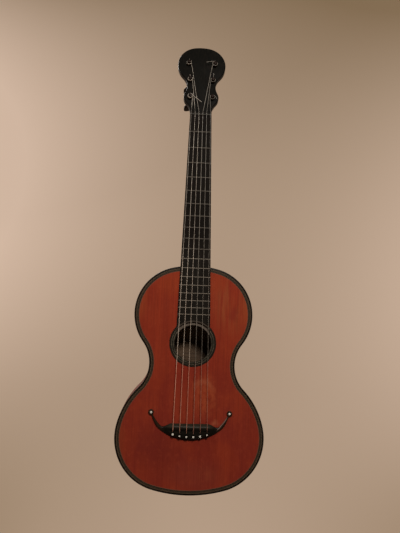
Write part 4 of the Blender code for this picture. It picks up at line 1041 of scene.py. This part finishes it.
bridge_sections = []
for i in range(-BRIDGE_SLICES, BRIDGE_SLICES + 1):
    turn = curl_turn * i / BRIDGE_SLICES
    inner, outer = bridge_reaches(turn)
    section = [(outer * math.sin(turn), 0.0, SMILE_Z - outer * math.cos(turn))]
    for j in range(19):
        share = 0.5 - 0.5 * math.cos(math.pi * j / 18)
        reach = part_way(outer, inner, share)
        x = reach * math.sin(turn)
        section.append((x, -bridge_height(x, reach, inner, outer), SMILE_Z - reach * math.cos(turn)))
    section.append((inner * math.sin(turn), 0.0, SMILE_Z - inner * math.cos(turn)))
    bridge_sections.append(section)
bridge = skin("bridge_visual", bridge_sections)

pearl = Finish("shell", Coat_Weight=0.3, Coat_Roughness=0.1)
cloud = pearl.noise((700.0, 700.0, 700.0), 2.0, 0.5, 0.6)
pearl.paint("Base Color", pearl.mixed(cloud, (0.30, 0.28, 0.24), (0.54, 0.51, 0.45)))
pearl.paint("Roughness", 0.22 + 0.2 * cloud)


def domed_dot(name, seat, radius, low, high):
    """Shell dot let in flush, with a slightly rounded face."""
    rings = [round_ring(0.00001, low, 28, seat), round_ring(radius, low, 28, seat)]
    rings += [round_ring(radius * math.cos(a), high + 0.00035 * math.sin(a), 28, seat)
              for a in (0.0, 0.35, 0.7, 1.05, 1.3, 1.5)]
    dot = smooth(skin(name, rings), 50.0)
    coat(dot, pearl)
    return dot


for name, side in (("bridge_dot_bass", -1), ("bridge_dot_treble", 1)):
    seat = FRONT @ Matrix.Translation((side * CURL[0], CURL[1], 0.0))
    carve(bridge, skin(f"curl_{side}", [round_ring(r, h, 36, seat) for r, h in CURL_RINGS]), "UNION")
    dot = domed_dot(name + "_visual", seat, 0.0022, 0.0024, 0.0036)
    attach(dot, "guitar")
    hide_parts(name)

SADDLE_SPREAD = 0.0665
SADDLE_Z = -0.6308
SLOT_FLOOR = 0.0051
SLOT_HALF = 0.0383
SLOT_HALF_WIDTH = 0.0012
PIN_ROW_Z = -0.6440
PIN_ROW_RADIUS = 0.1270
PIN_HOLE_RADIUS = 0.0030
PIN_PLACES = []
for number in range(1, 7):
    x = (number - 3.5) * SADDLE_SPREAD / 5
    PIN_PLACES.append((x, PIN_ROW_Z + PIN_ROW_RADIUS - math.sqrt(PIN_ROW_RADIUS**2 - x * x)))
slot_loop = bar_loop(SLOT_HALF, SADDLE_Z - SLOT_HALF_WIDTH, SADDLE_Z + SLOT_HALF_WIDTH)
carve(bridge, sheet("saddle_slot", [slot_loop], SLOT_FLOOR, 0.02, FRONT))
for number, place in enumerate(PIN_PLACES):
    seat = FRONT @ Matrix.Translation((*place, 0.0))
    bore = [round_ring(PIN_HOLE_RADIUS, h, 24, seat) for h in (-0.01, 0.02)]
    carve(bridge, skin(f"pin_bore_{number}", bore))
smooth(bridge, 32.0)

carved = Finish("carved_ebony", Specular_IOR_Level=0.05)
x, y, z = carved.place()
pores = carved.noise((45.0, 900.0, 900.0), 2.0)
smoke = carved.noise((30.0, 30.0, 30.0), 3.0)
off_z = z - SMILE_Z
off_middle = (x * x) ** 0.5
off_edge = (x * x + off_z * off_z) ** 0.5 + 0.213 * x - 0.1041
# Painted light: the bridge's front ramp, which faces up, is painted lighter.
ramp_painted_light = carved.clamped(carved.between(z, -0.6295, -0.6265) * (1.0 - carved.between(off_middle, 0.040, 0.052)))
# Painted highlight: a light line along the inner edge of the treble arm.
treble_arm_painted_highlight = carved.clamped((1.0 - carved.between((off_edge * off_edge) ** 0.5, 0.0003, 0.0011))
                             * carved.between(x, 0.051, 0.056) * (1.0 - carved.between(x, 0.070, 0.074)))
carved.paint("Base Color", carved.layered(
    (0.0034, 0.0030, 0.0022),
    (carved.between(pores, 0.45, 0.75), (0.0085, 0.0064, 0.0044)),
    (ramp_painted_light * 0.8, (0.0210, 0.0165, 0.0110)),
    (carved.between(off_middle, 0.048, 0.062) * 0.8, (0.0190, 0.0095, 0.0050)),
    (treble_arm_painted_highlight * 0.9, (0.150, 0.095, 0.078)),
))
carved.paint("Roughness", 0.28 + 0.16 * smoke)
carved.relief(pores, 0.00004, 0.3)
coat(bridge, carved)
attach(bridge, "guitar")
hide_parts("bridge")
eased("saddle", 0.0003, carved)


# Bridge pins
# Turned ebony pins with a round head and a shell eye, grooved down the front for the string and
# pushed into tapered holes through the bridge and the soundboard. Sections are in millimetres.
PIN_SECTIONS = (
    (12.0, 0.05), (12.0, 2.45), (11.85, 2.75), (11.3, 3.15), (10.6, 3.3), (9.9, 3.25), (9.2, 3.0),
    (8.75, 2.8), (8.62, 2.6), (8.3, 2.58), (4.0, 2.48), (0.0, 2.38), (-8.0, 2.2), (-9.2, 1.7), (-9.5, 0.05),
)
PIN_SIDES = 32
GROOVE_TOP = 8.5
GROOVE_HALF = 0.85
GROOVE_FLOOR = 1.5
EYE_RADII = (0.0022, 0.0017, 0.0019, 0.0020, 0.0023, 0.0015)
for number, place in enumerate(PIN_PLACES, 1):
    seat = FRONT @ Matrix.Translation((*place, 0.0))
    rings = []
    for height, radius in PIN_SECTIONS:
        ring = []
        for i in range(PIN_SIDES):
            turn = 2 * math.pi * i / PIN_SIDES
            reach = radius
            if height < GROOVE_TOP and radius * abs(math.cos(turn)) < GROOVE_HALF and math.sin(turn) > 0.0:
                reach = min(radius, GROOVE_FLOOR / math.sin(turn))
            ring.append(seat @ (Vector((reach * math.cos(turn), reach * math.sin(turn), height)) / 1000.0))
        rings.append(ring)
    pin = smooth(skin(f"bridge_pin_{number}_visual", rings), 40.0)
    coat(pin, ebony)
    eye = domed_dot(f"bridge_pin_{number}_eye", seat, EYE_RADII[number - 1], 0.0112, 0.0120)
    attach(pin, f"bridge_pin_{number}")
    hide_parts(f"bridge_pin_{number}")
    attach(eye, f"bridge_pin_{number}")


# Strings
# Three basses wound with fine silvered wire and three plain gut trebles. Each comes up beside its
# pin, over the saddle and the nut, and winds a little over twice round its peg to a cut tail.
STRING_DIAMETERS = (0.00107, 0.00089, 0.00074, 0.00102, 0.00081, 0.00071)
SADDLE_STAND, NUT_STAND, BRIDGE_HOLE = 0.0117, 0.0067, 0.0032
STRING_FOOT = -0.0058
HOLE_MOUTH = 0.0063
NUT_SPREAD = 0.0396
NUT_WIDTH = 0.0050
COIL_TURNS = 2.2
COIL_STEPS = 36
COIL_SEAT = 0.0043
COIL_BASE = 0.0041
COIL_GAP = 0.00045
TAIL_HEIGHT = 0.0085
CORD_SIDES = 10
BEND_REACH = 0.0012
TAILS = ((0.0235, -0.0150), (-0.0010, 0.0080), (0.0010, 0.0065),
         (-0.0185, 0.0005), (0.0006, 0.0140), (0.0100, -0.0068))


def pulled(start, corner, end, share):
    """Point part way along the curve from start to end that a corner pulls on."""
    to_corner = start * (1 - share) + corner * share
    from_corner = corner * (1 - share) + end * share
    return to_corner * (1 - share) + from_corner * share


def rounded_corners(points, reach):
    """A route of straight runs with each bend eased into a short curve."""
    route = [points[0]]
    for before, corner, after in zip(points, points[1:], points[2:]):
        back = before - corner
        ahead = after - corner
        start = corner + back.normalized() * min(reach, back.length / 2)
        end = corner + ahead.normalized() * min(reach, ahead.length / 2)
        route += [pulled(start, corner, end, i / 4) for i in range(5)]
    return route + [points[-1]]


def cord_skin(name, route, radius):
    """Round cord whose section is carried along the route without twisting."""
    rings = []
    across = Vector((1.0, 0.0, 0.0))
    turns = [2 * math.pi * k / CORD_SIDES for k in range(CORD_SIDES)]
    for i, point in enumerate(route):
        along = (route[min(i + 1, len(route) - 1)] - route[max(i - 1, 0)]).normalized()
        across = (across - along * across.dot(along)).normalized()
        other = along.cross(across)
        rings.append([point + across * radius * math.cos(a) + other * radius * math.sin(a) for a in turns])
    return smooth(skin(name, rings), 60.0)


wound = Finish("silvered_winding", Metallic=0.75)
x, y, z = wound.place()
turns_of_wire = wound.node("ShaderNodeTexWave", {"wave_type": "BANDS", "bands_direction": "Z"}, {
    "Vector": wound.node("ShaderNodeTexCoord", {}, {}, "Object"),
    "Scale": 420.0,
}, "Fac")
tarnish = wound.noise((90.0, 90.0, 30.0), 3.0)
# Painted light along the wound strings: a reddish painted reflection over the front, a painted highlight
# over the body, and painted shade near the nut and on the lowest string over the neck; the strings are also
# a little duller everywhere below the head.
over_front_painted_reflection = 1.0 - wound.between(z, -0.5150, -0.4950)
over_body_painted_highlight = 1.0 - wound.between(z, -0.300, -0.240)
lowest_string_painted_shade = (1.0 - wound.between(x - 0.0171 * z, -0.0166, -0.0090)) * wound.between(z, -0.32, -0.26)
before_head = 1.0 - wound.between(z, 0.010, 0.025)
near_nut_painted_shade = wound.between(z, -0.060, -0.025)
dulled_and_painted_shade = wound.clamped(0.15 + lowest_string_painted_shade * 0.45 + near_nut_painted_shade * 0.30) * before_head
wound.paint("Base Color", wound.layered(
    (0.26, 0.235, 0.20),
    (tarnish, (0.42, 0.38, 0.33)),
    (over_body_painted_highlight * 0.35, (0.95, 0.86, 0.74)),
    (over_front_painted_reflection * 0.80, (0.80, 0.36, 0.25)),
    (dulled_and_painted_shade, (0.05, 0.044, 0.038)),
))
wound.paint("Roughness", 0.34 + 0.2 * tarnish)
wound.relief(turns_of_wire, 0.00003, 0.4)

gut = Finish("twisted_gut", Roughness=0.42, Coat_Weight=0.2, Coat_Roughness=0.3)
twist = gut.noise((900.0, 900.0, 120.0), 2.0)
x, y, z = gut.place()
# Painted light along the gut strings: a reddish painted reflection over the front, and painted shade over
# the hole and near the nut.
over_front_painted_reflection = 1.0 - gut.between(z, -0.5150, -0.4950)
over_hole_painted_shade = gut.between(z, -0.505, -0.495) * (1.0 - gut.between(z, -0.440, -0.430))
near_nut_painted_shade = gut.between(z, -0.060, -0.025) * (1.0 - gut.between(z, 0.010, 0.025))
gut.paint("Base Color", gut.layered(
    (0.120, 0.104, 0.084),
    (twist, (0.185, 0.162, 0.132)),
    (over_front_painted_reflection * 0.80, (0.240, 0.084, 0.054)),
    (over_hole_painted_shade * 0.50, (0.028, 0.024, 0.020)),
    (near_nut_painted_shade * 0.45, (0.030, 0.026, 0.021)),
))
gut.relief(twist, 0.00003, 0.3)

for number, (place, diameter) in enumerate(zip(PIN_PLACES, STRING_DIAMETERS), 1):
    radius = diameter / 2
    entry = Vector((place[0], place[1] + BRIDGE_HOLE - 0.0003 - radius, HOLE_MOUTH))
    crossing = Vector((place[0], SADDLE_Z, SADDLE_STAND))
    nut_x = (number - 3.5) * NUT_SPREAD / 5
    over_nut = Vector((nut_x, 0.0, NUT_STAND))
    nut_rear = Vector((nut_x, NUT_WIDTH, NUT_STAND - NUT_WIDTH * math.tan(math.radians(4.0))))
    side, peg_x, height = peg_place(number)
    start = HEAD.inverted() @ (FRONT @ nut_rear)
    coil_radius = COIL_SEAT + radius
    away = Vector((start.x - peg_x, start.y - height))
    first = math.atan2(away.y, away.x) - side * math.acos(coil_radius / away.length)
    climb = diameter + COIL_GAP
    coil = []
    for i in range(round(COIL_TURNS * COIL_STEPS) + 1):
        turns = i / COIL_STEPS
        angle = first - side * 2 * math.pi * turns
        coil.append(HEAD @ Vector((peg_x + coil_radius * math.cos(angle),
                                   height + coil_radius * math.sin(angle), COIL_BASE + climb * turns)))
    foot = Vector((entry.x, entry.y, STRING_FOOT))
    run = [FRONT @ point for point in (foot, entry, crossing, over_nut, nut_rear)] + [coil[0]]
    leave = (coil[-1] - coil[-2]).normalized()
    tip = HEAD @ Vector((peg_x + TAILS[number - 1][0], height + TAILS[number - 1][1], TAIL_HEIGHT))
    bend = coil[-1] + leave * 0.35 * (tip - coil[-1]).length
    tail = [pulled(coil[-1], bend, tip, i / 9) for i in range(1, 10)]
    route = rounded_corners(run, BEND_REACH)[:-1] + coil + tail
    string = cord_skin(f"string_{number}_visual", route, radius)
    coat(string, wound if number <= 3 else gut)
    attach(string, "guitar")
    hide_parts(f"string_{number}")
    "wound_string" if number <= 3 else "gut"
